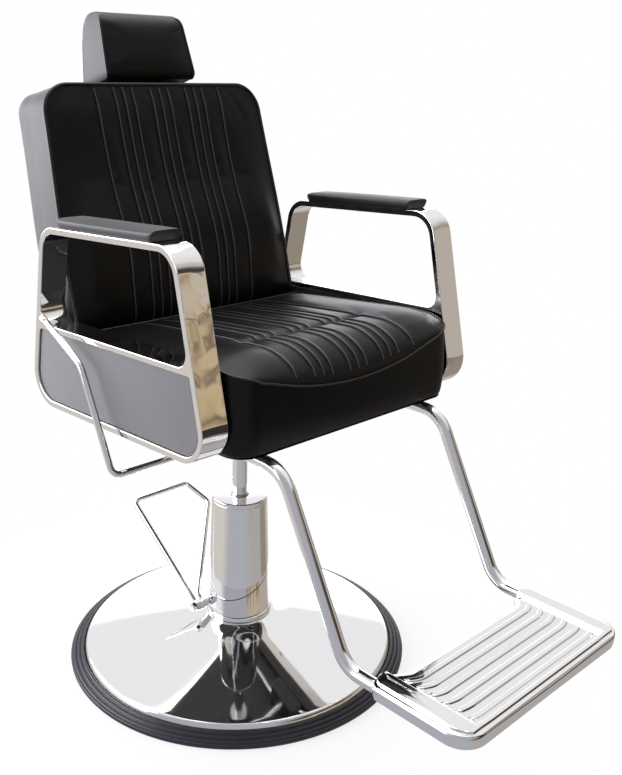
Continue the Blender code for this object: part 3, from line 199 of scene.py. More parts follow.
TURNED_CHROME = chrome_finish("turned_chrome", 0.02, 8.0)
BAR_CHROME = chrome_finish("bar_chrome", 0.24, 12.0)
CAST_CHROME = chrome_finish("cast_chrome", 0.05, 14.0)
print("chrome finishes", TURNED_CHROME.name, BAR_CHROME.name, CAST_CHROME.name)

# %% [markdown]
# ## Black leather cloth
#
# The upholstery is a coated cloth with a fine pebble grain. Cells about a millimetre wide give the pebbles,
# a slower noise gives the soft creases, and the gloss changes a little over the hide. The panels one sits
# against are wiped smooth and look black. The sides, the boxing and the side panels of the arms get copies of
# the same leather whose lighter base colour is painted light, the grey veil of the window, over a real sheen
# and gloss.


# %% Leather
PEBBLE_SCALE = 620.0
PEBBLE_DEEP = 0.0005
CREASE_SCALE = 46.0
CREASE_STRENGTH = 0.10
CREASE_RISE = 0.002
HIDE_SCALE = 7.0


def leather_finish(name, pebble, gloss, shine, dark, light, veil=0.0):
    """Coated cloth; pebble is the strength of its grain, gloss a range of roughness, veil a grey sheen."""
    finish, tree, shader = start_finish(name)
    where = own_place(tree)
    cells = add(tree, "ShaderNodeTexVoronoi", {"Scale": PEBBLE_SCALE}, feature="SMOOTH_F1")
    join(tree, where, cells.inputs["Vector"])
    grain = dents(tree, cells.outputs["Distance"], pebble, PEBBLE_DEEP)
    creases = noise(tree, where, CREASE_SCALE, 5.0)
    join(tree, dents(tree, creases, CREASE_STRENGTH, CREASE_RISE, grain), shader.inputs["Normal"])
    slow = noise(tree, where, HIDE_SCALE, 3.0)
    join(tree, over(tree, slow, dark, light), shader.inputs["Base Color"])
    join(tree, spread(tree, slow, *gloss), shader.inputs["Roughness"])
    shader.inputs["Specular IOR Level"].default_value = shine
    shader.inputs["Sheen Weight"].default_value = veil
    shader.inputs["Sheen Roughness"].default_value = 0.45
    return finish


LEATHER = leather_finish("black_leather_cloth", pebble=0.16, gloss=(0.33, 0.42), shine=0.24,
                         dark=(0.0014, 0.0014, 0.0016), light=(0.0034, 0.0031, 0.0033))
# Painted light: the side copy of the leather has a lighter base colour that stands for the window's grey
# veil; its sheen and gloss are real.
SIDE_LEATHER_LIT = leather_finish("side_leather_painted_lighter", pebble=0.20, gloss=(0.54, 0.62), shine=0.75, veil=0.25,
                              dark=(0.0085, 0.0080, 0.0100), light=(0.0140, 0.0128, 0.0150))
# Painted light: the arm's side panels get the lightest copy, its base colour raised to stand for the window's
# grey veil; the strong sheen is real.
PANEL_LEATHER_LIT = leather_finish("panel_leather_painted_lighter", pebble=0.20, gloss=(0.60, 0.68), shine=1.0, veil=0.9,
                               dark=(0.0200, 0.0185, 0.0215), light=(0.0300, 0.0275, 0.0315))
PAD_LEATHER = leather_finish("pad_leather_cloth", pebble=0.18, gloss=(0.44, 0.52), shine=0.6, veil=0.15,
                             dark=(0.0040, 0.0038, 0.0048), light=(0.0080, 0.0074, 0.0090))
PIPING = leather_finish("leather_piping", pebble=0.08, gloss=(0.26, 0.36), shine=0.6,
                        dark=(0.0030, 0.0030, 0.0032), light=(0.0060, 0.0056, 0.0058))
# Painted highlight: a leather tone far lighter than the black, for the cords that stand for the light line on
# each fold's edge.
FOLD_HIGHLIGHT = leather_finish("fold_painted_highlight", pebble=0.05, gloss=(0.30, 0.40), shine=0.6,
                      dark=(0.045, 0.042, 0.044), light=(0.070, 0.065, 0.066))
print("leather finishes", [f.name for f in (LEATHER, SIDE_LEATHER_LIT, PANEL_LEATHER_LIT, PAD_LEATHER, PIPING, FOLD_HIGHLIGHT)])

# %% [markdown]
# ## Rubber, paint, zinc, bronze, plywood and thread
#
# The rest of the chair: a moulded rubber rim, black painted steel under the seat, zinc plated fittings, a
# bronze bush, the plywood inside the back, and the sewing thread. Most of them need no pattern of their
# own, so one recipe serves them: a noise mixes two close tones and two levels of gloss, and dents the
# surface a little. Only the plywood has rings.


# %% Other finishes
DENT_DEEP = 0.0008


def plain_finish(name, dark, light, gloss, scale, bump, metallic=0.0):
    """Two tones and two gloss levels mixed by one noise, with a matching bump."""
    finish, tree, shader = start_finish(name)
    cloud = noise(tree, own_place(tree), scale, 6.0)
    join(tree, over(tree, cloud, dark, light), shader.inputs["Base Color"])
    join(tree, spread(tree, cloud, *gloss), shader.inputs["Roughness"])
    join(tree, dents(tree, cloud, bump, DENT_DEEP), shader.inputs["Normal"])
    shader.inputs["Metallic"].default_value = metallic
    return finish


RUBBER = plain_finish("rim_rubber", (0.008, 0.010, 0.015), (0.016, 0.018, 0.025), (0.28, 0.44), 90.0, 0.12)
PAINT = plain_finish("black_paint", (0.012, 0.012, 0.013), (0.022, 0.022, 0.023), (0.38, 0.55), 260.0, 0.25)
ZINC = plain_finish("zinc_plate", (0.50, 0.51, 0.53), (0.66, 0.67, 0.69), (0.25, 0.42), 160.0, 0.06, 1.0)
BRONZE = plain_finish("plated_bush", (0.46, 0.42, 0.35), (0.60, 0.56, 0.48), (0.22, 0.36), 120.0, 0.05, 1.0)
THREAD = plain_finish("black_thread", (0.010, 0.010, 0.011), (0.030, 0.029, 0.030), (0.50, 0.70), 900.0, 0.30)

PLYWOOD, wood_tree, wood_shader = start_finish("plywood_board")
wood_rings = add(wood_tree, "ShaderNodeTexWave", {"Scale": 18.0, "Distortion": 6.0, "Detail": 3.0})
join(wood_tree, own_place(wood_tree), wood_rings.inputs["Vector"])
wood_tone = over(wood_tree, wood_rings.outputs["Fac"], (0.36, 0.24, 0.13), (0.50, 0.37, 0.22))
join(wood_tree, wood_tone, wood_shader.inputs["Base Color"])
wood_shader.inputs["Roughness"].default_value = 0.6
print("finishes", len(bpy.data.materials))

# %% [markdown]
# ## The studio
#
# A white sweep under and behind the chair, a wide window of light from the chair's right rear, and a softer
# one overhead. Chrome needs something to reflect, so the surroundings are not one flat white: the half in
# front of the chair is a dim warm room, as it is in front of any real salon chair.


# %% Studio helpers
def towards(tree, direction, way, low, high):
    """0 to 1 as a direction turns towards one way."""
    dot = add(tree, "ShaderNodeVectorMath", {1: Vector(way).normalized()}, operation="DOT_PRODUCT")
    join(tree, direction, dot.inputs[0])
    return spread(tree, dot.outputs["Value"], 0.0, 1.0, low, high, "SMOOTHSTEP")


def combined(tree, operation, first, second):
    """One value worked out from two."""
    node = add(tree, "ShaderNodeMath", operation=operation)
    join(tree, first, node.inputs[0])
    join(tree, second, node.inputs[1])
    return node.outputs["Value"]


def either(tree, share, first, second):
    """The first shader at a share of 0, the second at 1."""
    node = add(tree, "ShaderNodeMixShader")
    join(tree, share, node.inputs["Fac"])
    join(tree, first, node.inputs[1])
    join(tree, second, node.inputs[2])
    return node.outputs["Shader"]


def soft_light(name, place, aim, width, height, watts, colour):
    """A rectangular lamp turned towards a point."""
    light = bpy.data.lights.new(name, "AREA")
    light.shape = "RECTANGLE"
    light.size = width
    light.size_y = height
    light.energy = watts
    light.color = colour
    lamp = linked(name, light)
    lamp.location = place
    lamp.rotation_euler = (Vector(aim) - Vector(place)).to_track_quat("-Z", "Y").to_euler()
    print("lamp", name, watts, "W")


print("studio helpers ready")

# %% Lamps
soft_light("window", (-1.80, 1.62, 1.25), (0.0, 0.0, 0.80), 3.0, 1.5, 92.0, (0.93, 0.93, 1.0))
soft_light("overhead", (0.3, 0.6, 3.0), (0.0, -0.1, 0.5), 2.2, 2.2, 34.0, (1.0, 0.98, 0.95))

# %% Dim room in front
ROOM_LOW = (0.50, 0.40, 0.27)
ROOM_BANDS = ((0.06, (0.56, 0.42, 0.25)), (0.085, (0.15, 0.12, 0.07)), (0.10, (0.55, 0.41, 0.24)),
              (0.15, (0.60, 0.47, 0.30)), (0.185, (0.12, 0.08, 0.05)), (0.21, (0.54, 0.43, 0.29)),
              (0.262, (0.60, 0.53, 0.44)), (0.30, (0.08, 0.06, 0.045)), (0.44, (0.05, 0.045, 0.04)),
              (0.54, (0.38, 0.34, 0.30)), (0.70, (0.80, 0.78, 0.76)))
ROOM_HIGH = (0.90, 0.89, 0.88)
RIPPLE = 0.20

studio = bpy.data.worlds.new("studio")
bpy.context.scene.world = studio
studio.use_nodes = True
sky = studio.node_tree
sky.nodes.clear()
ray = add(sky, "ShaderNodeTexCoord").outputs["Generated"]
ray_parts = add(sky, "ShaderNodeSeparateXYZ")
join(sky, ray, ray_parts.inputs["Vector"])
ray_height = ray_parts.outputs["Z"]
ripple = add(sky, "ShaderNodeMath", {1: RIPPLE}, operation="MULTIPLY_ADD")
join(sky, noise(sky, ray, 4.6, 3.0, 2.2), ripple.inputs[0])
join(sky, ray_height, ripple.inputs[2])
room = add(sky, "ShaderNodeValToRGB")
room.color_ramp.elements[0].color = (*ROOM_LOW, 1.0)
room.color_ramp.elements[1].color = (*ROOM_HIGH, 1.0)
for place, colour in ROOM_BANDS:
    room.color_ramp.elements.new(place).color = (*colour, 1.0)
join(sky, ripple.outputs["Value"], room.inputs["Fac"])
print("room tones", len(room.color_ramp.elements))

# %% Surroundings
FRONT_ROOM = (0.66, -0.75, 0.0)
CAMERA_SIDE = (-0.72, -0.68, 0.15)
REAR_WINDOW = (0.66, 0.71, 0.18)
PALE_WALL = (0.90, -0.44, 0.05)
LINTEL = (0.36, 0.44)
WHITE = (1.0, 1.0, 1.0, 1.0)

around = over(sky, towards(sky, ray, CAMERA_SIDE, 0.30, 0.75), (0.94, 0.94, 0.96), (0.44, 0.44, 0.50))
below_lintel = spread(sky, ray_height, 1.0, 0.0, *LINTEL)
rear_window = combined(sky, "MULTIPLY", towards(sky, ray, REAR_WINDOW, 0.84, 0.93), below_lintel)
around = over(sky, rear_window, around, (2.6, 2.6, 2.75))
around = over(sky, towards(sky, ray, FRONT_ROOM, 0.45, 0.80), around, room.outputs["Color"])
around = over(sky, towards(sky, ray, PALE_WALL, 0.90, 0.96), around, (0.52, 0.46, 0.40))
lit = add(sky, "ShaderNodeBackground", {"Strength": 0.95})
join(sky, around, lit.inputs["Color"])
white = add(sky, "ShaderNodeBackground", {"Color": WHITE, "Strength": 1.0})
seen = add(sky, "ShaderNodeLightPath").outputs["Is Camera Ray"]
sky_shader = either(sky, seen, lit.outputs["Background"], white.outputs["Background"])
join(sky, sky_shader, add(sky, "ShaderNodeOutputWorld").inputs["Surface"])
print("surroundings", len(sky.nodes), "nodes")

# %% Floor
FLOOR_R = 9.0
FLOOR_Z = -0.0006
floor_bm = bmesh.new()
bmesh.ops.create_circle(floor_bm, cap_ends=True, segments=96, radius=FLOOR_R)
floor_mesh = bpy.data.meshes.new("studio_floor")
floor_bm.to_mesh(floor_mesh)
floor_bm.free()
floor_mesh.transform(Matrix.Translation((0.0, 0.0, FLOOR_Z)))
floor = linked("studio_floor", floor_mesh)
print("floor radius", FLOOR_R)

# %% Floor finish
sweep, sweep_tree, sweep_shader = start_finish("white_sweep")
floor_mesh.materials.append(sweep)
sweep_shader.inputs["Base Color"].default_value = (0.90, 0.90, 0.905, 1.0)
sweep_shader.inputs["Roughness"].default_value = 0.7
spot = own_place(sweep_tree)
far = add(sweep_tree, "ShaderNodeVectorMath", operation="LENGTH")
join(sweep_tree, spot, far.inputs[0])
away = far.outputs["Value"]
path = add(sweep_tree, "ShaderNodeLightPath")
fade = spread(sweep_tree, away, 0.78, 1.0, 0.33, 0.72)
direct = combined(sweep_tree, "MULTIPLY", fade, path.outputs["Is Camera Ray"])
glow = add(sweep_tree, "ShaderNodeEmission", {"Color": WHITE, "Strength": 1.0})
seen_floor = either(sweep_tree, direct, sweep_shader.outputs["BSDF"], glow.outputs["Emission"])
print("floor turns white from 0.33 m to 0.72 m")

# %% Floor as the chrome shows it: a painted reflection that glows
bearing_node = add(sweep_tree, "ShaderNodeVectorMath", operation="NORMALIZE")
join(sweep_tree, spot, bearing_node.inputs[0])
bearing = bearing_node.outputs["Vector"]
camera_side = towards(sweep_tree, bearing, CAMERA_SIDE, 0.45, 0.9)
painted_reflection_tone = over(sweep_tree, camera_side, (0.66, 0.62, 0.58), (0.43, 0.44, 0.49))
past_front = spread(sweep_tree, away, 0.0, 1.0, 1.0, 1.5, "SMOOTHSTEP")
painted_dark_front = over(sweep_tree, past_front, (0.42, 0.40, 0.39), (0.035, 0.030, 0.026))
painted_reflection_tone = over(sweep_tree, towards(sweep_tree, bearing, FRONT_ROOM, 0.35, 0.80), painted_reflection_tone, painted_dark_front)
painted_reflection_tone = over(sweep_tree, towards(sweep_tree, bearing, PALE_WALL, 0.93, 0.98), painted_reflection_tone, (0.30, 0.26, 0.21))
# Painted reflection: for glossy rays the floor glows, grey towards the camera side and dark in front, though
# it is no lamp.
painted_reflection_glow = add(sweep_tree, "ShaderNodeEmission", {"Strength": 1.0})
join(sweep_tree, painted_reflection_tone, painted_reflection_glow.inputs["Color"])
in_metal = combined(sweep_tree, "MAXIMUM", path.outputs["Is Glossy Ray"], path.outputs["Is Transmission Ray"])
floor_shader = either(sweep_tree, in_metal, seen_floor, painted_reflection_glow.outputs["Emission"])
join(sweep_tree, floor_shader, sweep_tree.nodes["Material Output"].inputs["Surface"])
print("floor finish", len(sweep_tree.nodes), "nodes")

# %% [markdown]
# ## Mesh helpers
#
# A finished mesh is put on its moving body by one helper. It shades the mesh smooth, keeps the edges that
# are really sharp, and says which measured solid the piece stands for. Turned shapes, cushions and panels
# are all rings or rows of points, so two more helpers lay the faces between them.


# %% Mesh helpers
WELD = 0.000005


def ease(low, high, x):
    """A smooth step from 0 to 1."""
    t = np.clip((np.asarray(x, float) - low) / (high - low), 0.0, 1.0)
    return t * t * (3.0 - 2.0 * t)


def closed_mesh(name, bm):
    """Weld, turn the faces outwards and store."""
    bmesh.ops.remove_doubles(bm, verts=bm.verts, dist=WELD)
    bmesh.ops.recalc_face_normals(bm, faces=bm.faces)
    mesh = bpy.data.meshes.new(name)
    bm.to_mesh(mesh)
    bm.free()
    return mesh


def baked(obj):
    """The object's modifiers turned into a plain mesh."""
    bpy.context.view_layer.update()
    graph = bpy.context.evaluated_depsgraph_get()
    return bpy.data.meshes.new_from_object(obj.evaluated_get(graph), depsgraph=graph)


def dress(name, mesh, finish, body, stands_for=(), sharp=32.0, even=True):
    """Put a finished mesh on its body; edges sharper than the angle stay, and even weighs normals by area."""
    mesh.materials.clear()
    mesh.materials.append(finish)
    mesh.shade_smooth()
    mesh.set_sharp_from_angle(angle=math.radians(sharp))
    piece = linked(name, mesh)
    if even:
        weigh = piece.modifiers.new("even_shading", "WEIGHTED_NORMAL")
        weigh.keep_sharp = True
        piece.data = baked(piece)
        piece.modifiers.clear()
    piece.data.name = name
    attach(piece, body)
    if stands_for:
        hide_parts(*stands_for)
    print(name, len(piece.data.polygons), "faces on", body)
    return piece


print("mesh helpers ready")


# %% Rings, grids and corners
def bridge(bm, first, second):
    """Faces between two rings of points; a ring of one point is a tip."""
    count = max(len(first), len(second))
    for k in range(count):
        m = (k + 1) % count
        near = [first[k % len(first)], first[m % len(first)]]
        far = [second[m % len(second)], second[k % len(second)]]
        unique = list(dict.fromkeys(near + far))
        if len(unique) > 2:
            bm.faces.new(unique)


def grid_faces(bm, grid):
    """Faces between the rows of a grid of points."""
    for row, after in zip(grid, grid[1:]):
        for k in range(len(row) - 1):
            bm.faces.new((row[k], row[k + 1], after[k + 1], after[k]))


def turned(name, profile, segments=160):
    """A profile of (radius, height) turned round the Z axis."""
    bm = bmesh.new()
    angles = [2.0 * math.pi * k / segments for k in range(segments)]
    rings = []
    for radius, height in profile:
        turns = angles if radius > 0.0 else [0.0]
        rings.append([bm.verts.new((radius * math.cos(t), radius * math.sin(t), height)) for t in turns])
    for upper, lower in zip(rings, rings[1:]):
        bridge(bm, upper, lower)
    return closed_mesh(name, bm)


def round_corners(points, radii, steps):
    """A line of points with each corner turned into an arc; radius 0 keeps a corner or an end."""
    line = []
    count = len(points)
    for k, point in enumerate(points):
        here = Vector(point)
        if radii[k] <= 0.0:
            line.append(here)
            continue
        back = (Vector(points[k - 1]) - here).normalized()
        ahead = (Vector(points[(k + 1) % count]) - here).normalized()
        half = back.angle(ahead) / 2.0
        centre = here + (back + ahead).normalized() * (radii[k] / math.sin(half))
        start = here + back * (radii[k] / math.tan(half)) - centre
        end = here + ahead * (radii[k] / math.tan(half)) - centre
        turn = start.angle(end)
        for n in range(steps + 1):
            t = n / steps
            spoke = start * math.sin((1 - t) * turn) + end * math.sin(t * turn)
            line.append(centre + spoke / math.sin(turn))
    return line


SIDES = (("left", 1), ("right", -1))
print("shape helpers ready")

# %% [markdown]
# ## The base
#
# The base is a pressed chrome cone inside a moulded rubber rim with three steps. Both are turned shapes, so
# a profile spun round the axis is the honest way to make them. The cone ends in a rolled lip that dips
# behind the rubber.

# %% Rubber rim
BASE_R = 0.330
RIM_IN = BASE_R - 0.0297
RIM_TOP = 0.0215
RIM_STEP = 0.004
LEDGE = RIM_TOP - 0.0045
RIDGES = 3
RIDGE_IN = RIM_IN + 0.004
RIDGE_WIDTH = (BASE_R - 0.003 - RIDGE_IN) / RIDGES
RIDGE_FORM = ((0.07, -0.0004), (0.18, 0.0002), (0.34, 0.0004), (0.52, 0.0002), (0.68, -0.0004),
              (0.80, -0.0012), (0.90, -0.0024), (0.97, -0.0038))


def turned_piece(name, profile, node, segments=144, finish=TURNED_CHROME, body="base",
                 sharp=40.0):
    """A turned piece that stands for one solid."""
    return dress(name, turned(name, profile, segments), finish, body, [node], sharp)


rim_line = [(RIDGE_IN, LEDGE), (RIDGE_IN, RIM_TOP - 0.0012)]
for k in range(RIDGES):
    for share, rise in RIDGE_FORM:
        rim_line.append((RIDGE_IN + RIDGE_WIDTH * k + RIDGE_WIDTH * share, RIM_TOP - RIM_STEP * k + rise))
rim_line += [(BASE_R - 0.0016, 0.0092), (BASE_R - 0.0004, 0.0082), (BASE_R, 0.0066),
             (BASE_R - 0.0005, 0.0025), (BASE_R - 0.0022, 0.0), (RIM_IN, 0.0), (RIM_IN, LEDGE),
             (RIDGE_IN, LEDGE)]
turned_piece("rubber_rim", rim_line, "rim_ring", 192, RUBBER, sharp=50.0)

# %% Chrome dish
DISH_R = RIDGE_IN - 0.0003
DISH_LOW = LEDGE + 0.0003
DISH_HOLE = 0.0355
DISH_TOP = 0.0780
SLOPE_START = Vector((0.0980, 0.0676))
SLOPE_END = Vector((DISH_R - 0.0085, DISH_LOW + 0.0126))
SLOPE_STEPS = (0.0, 0.04, 0.12, 0.25, 0.40, 0.55, 0.70, 0.85, 0.96, 1.0)
LIP_FORM = ((0.0012, 0.0004), (0.0024, 0.0011), (0.0036, 0.0022), (0.0048, 0.0038), (0.0062, 0.0063),
            (0.0074, 0.0090), (0.0082, 0.0110), (0.0085, 0.0120))

dish_line = [(DISH_HOLE, DISH_TOP), (0.0640, DISH_TOP), (0.0670, 0.0779), (0.0700, 0.0772), (0.0740, 0.0752),
             (0.0800, 0.0727), (0.0880, 0.0700)]
dish_line += [tuple(SLOPE_START.lerp(SLOPE_END, t)) for t in SLOPE_STEPS]
dish_line += [(SLOPE_END.x + out, SLOPE_END.y - drop) for out, drop in LIP_FORM]
dish_line += [(DISH_R - 0.0010, DISH_LOW), (DISH_R - 0.0100, DISH_LOW + 0.0104), (SLOPE_START.x, 0.0655),
              (0.0700, 0.0752), (DISH_HOLE, 0.0760), (DISH_HOLE, DISH_TOP)]
turned_piece("chrome_dish", dish_line, "base_cover", 256)

# %% [markdown]
# ## The column
#
# A tapered casing hides the pump. It is made of two halves that meet in a slanted joint, so seen from the
# front the joint draws a dark U. Each half is a cone whose one edge follows the slanting plane.


# %% Casing of the column
CASE_LOW = 0.0886
CASE_TOP = 0.3180
CASE_LOW_R = 0.0605
CASE_TOP_R = 0.0530
CASE_WALL = 0.0025
JOINT_Z = 0.158
JOINT_SLANT = (0.5495, 0.1409)
JOINT_GAP = 0.0014


def case_radius(height):
    """Radius of the tapered casing at one height."""
    return CASE_LOW_R + (CASE_TOP_R - CASE_LOW_R) * (height - CASE_LOW) / (CASE_TOP - CASE_LOW)


def joint_height(angle, lift):
    """Height of the slanted joint on the casing at one angle."""
    height = JOINT_Z + lift
    for _ in range(8):
        slant = JOINT_SLANT[0] * math.cos(angle) + JOINT_SLANT[1] * math.sin(angle)
        height = JOINT_Z + lift + case_radius(height) * slant
    return height


def casing_half(name, low, high, sides=144):
    """A cone wall between two edge heights, with rolled edges and a wall behind."""
    bm = bmesh.new()
    wall = [(0.0, CASE_WALL), (0.0, 0.0006), (0.004, 0.0001), (0.012, 0.0), (0.25, 0.0), (0.5, 0.0),
            (0.75, 0.0), (0.988, 0.0), (0.996, 0.0001), (1.0, 0.0006), (1.0, CASE_WALL)]
    rings = []
    for t, inset in wall:
        ring = []
        for k in range(sides):
            angle = 2.0 * math.pi * k / sides
            height = low(angle) + (high(angle) - low(angle)) * t
            radius = case_radius(height) - inset
            ring.append(bm.verts.new((radius * math.cos(angle), radius * math.sin(angle), height)))
        rings.append(ring)
    for lower, upper in zip(rings, rings[1:] + rings[:1]):
        bridge(bm, lower, upper)
    return closed_mesh(name, bm)


dress("casing_lower", casing_half("casing_lower", lambda a: CASE_LOW, lambda a: joint_height(a, -JOINT_GAP)),
      TURNED_CHROME, "base", ["column_collar"], 40.0)
dress("casing_upper", casing_half("casing_upper", lambda a: joint_height(a, 0.0), lambda a: CASE_TOP),
      TURNED_CHROME, "base", ["column_sleeve"], 40.0)

# %% Foot, lid and rod of the column
flange_line = [(0.0350, 0.0883), (0.0592, 0.0883), (0.0606, 0.0878), (0.0620, 0.0868), (0.0632, 0.0850),
               (0.0635, 0.0832), (0.0635, 0.0812), (0.0631, 0.0798), (0.0624, 0.0788), (0.0612, 0.0783),
               (0.0350, 0.0783), (0.0350, 0.0883)]
turned_piece("column_foot", flange_line, "column_flange")
cap_line = [(0.0170, 0.3183), (0.0170, 0.3253), (0.0178, 0.3260), (0.0500, 0.3260), (0.0514, 0.3257),
            (0.0524, 0.3250), (0.0529, 0.3240), (0.0530, 0.3228), (0.0530, 0.3188), (0.0527, 0.3183),
            (0.0170, 0.3183)]
turned_piece("column_lid", cap_line, "column_cap")
bush_line = [(0.0144, 0.3183), (0.0144, 0.3282), (0.0147, 0.3285), (0.0162, 0.3285), (0.0165, 0.3281),
             (0.0166, 0.3275), (0.0166, 0.3183), (0.0144, 0.3183)]
turned_piece("gland_ring", bush_line, "gland_bush", 64, BRONZE)
rod_line = [(0.0, 0.5195), (0.0104, 0.5195), (0.0110, 0.5189), (0.0110, 0.4890), (0.0132, 0.4890),
            (0.0140, 0.4882), (0.0140, 0.40), (0.0140, 0.30), (0.0140, 0.1660), (0.0130, 0.1650),
            (0.0, 0.1650)]
turned_piece("lift_rod", rod_line, "piston_rod", 64, body="piston")

# %% [markdown]
# ## Bars bent along a path
#
# The pedal, the recline lever and the footrest tubes are round bar bent with round corners, and the piping
# of the cushions is a cord that follows a seam. One node tree makes them all: it takes a line of points,
# turns it into a curve and sweeps a circle along it.


# %% Tree for a round bar on a path
def new_tree(name, inputs):
    """A node tree with named inputs, given as (name, kind of socket, value)."""
    tree = bpy.data.node_groups.new(name, "GeometryNodeTree")
    tree.interface.new_socket("Geometry", in_out="INPUT", socket_type="NodeSocketGeometry")
    for label, kind, value in inputs:
        socket = tree.interface.new_socket(label, in_out="INPUT", socket_type=kind)
        if value is not None:
            socket.default_value = value
    tree.interface.new_socket("Geometry", in_out="OUTPUT", socket_type="NodeSocketGeometry")
    return tree, tree.nodes.new("NodeGroupInput"), tree.nodes.new("NodeGroupOutput")


BAR_TREE, bar_in, bar_out = new_tree("bar_on_path", [("Radius", "NodeSocketFloat", 0.005),
                                                     ("Sides", "NodeSocketInt", 20),
                                                     ("Finish", "NodeSocketMaterial", None)])
bar_curve = add(BAR_TREE, "GeometryNodeMeshToCurve")
bar_round = add(BAR_TREE, "GeometryNodeCurvePrimitiveCircle")
bar_sweep = add(BAR_TREE, "GeometryNodeCurveToMesh", {"Fill Caps": True})
bar_real = add(BAR_TREE, "GeometryNodeRealizeInstances")
bar_paint = add(BAR_TREE, "GeometryNodeSetMaterial")
join(BAR_TREE, bar_in.outputs["Geometry"], bar_curve.inputs["Mesh"])
join(BAR_TREE, bar_in.outputs["Sides"], bar_round.inputs["Resolution"])
join(BAR_TREE, bar_in.outputs["Radius"], bar_round.inputs["Radius"])
join(BAR_TREE, bar_curve.outputs["Curve"], bar_sweep.inputs["Curve"])
join(BAR_TREE, bar_round.outputs["Curve"], bar_sweep.inputs["Profile Curve"])
join(BAR_TREE, bar_sweep.outputs["Mesh"], bar_real.inputs["Geometry"])
join(BAR_TREE, bar_real.outputs["Geometry"], bar_paint.inputs["Geometry"])
join(BAR_TREE, bar_in.outputs["Finish"], bar_paint.inputs["Material"])
join(BAR_TREE, bar_paint.outputs["Geometry"], bar_out.inputs["Geometry"])
print("bar tree", len(BAR_TREE.nodes), "nodes")


# %% A mesh grown on lines
def grown(name, tree, lines, closed=False, **values):
    """Run a node tree on lines of points and give back the plain mesh."""
    points, edges = [], []
    for line in lines:
        first = len(points)
        points += [tuple(p) for p in line]
        edges += [(first + k, first + k + 1) for k in range(len(line) - 1)]
        if closed:
            edges.append((first + len(line) - 1, first))
    guide_mesh = bpy.data.meshes.new(name + "_line")
    guide_mesh.from_pydata(points, edges, [])
    guide = linked(name + "_line", guide_mesh)
    maker = guide.modifiers.new("maker", "NODES")
    maker.node_group = tree
    for item in tree.interface.items_tree:
        if item.in_out == "INPUT" and item.name in values:
            maker[item.identifier] = values[item.name]
    mesh = baked(guide)
    bpy.data.objects.remove(guide, do_unlink=True)
    return mesh


def bent(points, bends, steps=12):
    """A path with round bends at its inner points."""
    return round_corners(points, [0.0, *bends, 0.0], steps)


def bar_piece(name, path, radius, sides, body, node):
    """A chrome bar along a path that stands for one solid."""
    mesh = grown(name, BAR_TREE, [path], Radius=radius, Sides=sides, Finish=TURNED_CHROME)
    return dress(name, mesh, TURNED_CHROME, body, [node], 50.0, False)


print("bar helpers ready")

# %% [markdown]
# ## The pump pedal
#
# On the real chair a steel wire is bent into a loop, and its two ends meet in one hub on the side of the
# column. Stepping on the loop turns the hub. A curve object with a round bevel would do as well, but the
# bar tree gives a plain mesh with closed ends in one call. The hub and its nut are turned shapes laid on
# their side; with six segments a turned shape is a nut.

# %% Pedal loop
PEDAL = Vector((0.0, 0.034, 0.097))
PEDAL_RISE = Vector((0.0, 0.2091, 0.150))
PEDAL_R = 0.005
PEDAL_BEND = 0.014
INNER_BEND = 0.0085
OUTER_LEG = Vector((-0.0780, 0.0, 0.0))
INNER_LEG = Vector((-0.0630, 0.0, 0.0))
TREAD_CORNER = Vector((0.056, 0.0, 0.0))
FAR_CORNER = Vector((0.080, 0.0, 0.0))

leg_root = PEDAL_RISE.normalized() * 0.0110
pedal_path = bent([PEDAL + OUTER_LEG + leg_root, PEDAL + OUTER_LEG + PEDAL_RISE,
                   PEDAL + TREAD_CORNER + PEDAL_RISE, PEDAL + FAR_CORNER + PEDAL_RISE * 0.78,
                   PEDAL + INNER_LEG + leg_root * 1.84, PEDAL + INNER_LEG + leg_root],
                  [PEDAL_BEND, PEDAL_BEND, PEDAL_BEND, INNER_BEND])
bar_piece("pedal_wire", pedal_path, PEDAL_R, 24, "pedal", "pedal_loop")

# %% Pedal hub and nut
HUB_LEFT = -0.0845
NUT_LEFT = -0.0858
NUT_R = 0.0092
NUT_HIGH = 0.0068


def along_x(mesh, start, turn):
    """Lay a shape turned round Z along the pedal's axis, from one end."""
    place = Matrix.Translation((start, PEDAL.y, PEDAL.z))
    mesh.transform(place @ Matrix.Rotation(turn, 4, "Y"))
    return mesh


hub_line = [(0.0064, 0.0), (0.0095, 0.0), (0.0105, 0.0010), (0.0105, 0.0270), (0.0095, 0.0280),
            (0.0064, 0.0280), (0.0064, 0.0)]
hub = along_x(turned("pedal_boss", hub_line, 64), HUB_LEFT, math.pi / 2)
dress("pedal_boss", hub, TURNED_CHROME, "pedal", ["pedal_hub"], 40.0)
nut_line = [(0.0, 0.0), (NUT_R, 0.0), (NUT_R, NUT_HIGH - 0.0012), (NUT_R * 0.86, NUT_HIGH),
            (NUT_R * 0.45, NUT_HIGH + 0.0006), (0.0, NUT_HIGH + 0.0008)]
nut = along_x(turned("pedal_bolt", nut_line, 6), NUT_LEFT, -math.pi / 2)
dress("pedal_bolt", nut, TURNED_CHROME, "base", ["pedal_nut"], 25.0, False)

# %% [markdown]
# ## The recline lever
#
# The lever that frees the back is a bent bar that runs under the seat and comes up beside the right arm,
# with a rounded end to push. Four points and two bends describe it, so it uses the bar tree too. The end is
# turned upright and then set along the bar's last stretch.

# %% Lever
LEVER_X = -0.3255
LEVER_R = 0.0055
LEVER_KNEE = Vector((LEVER_X, 0.0105, 0.6465))
LEVER_END = Vector((LEVER_X, 0.112, 0.696))

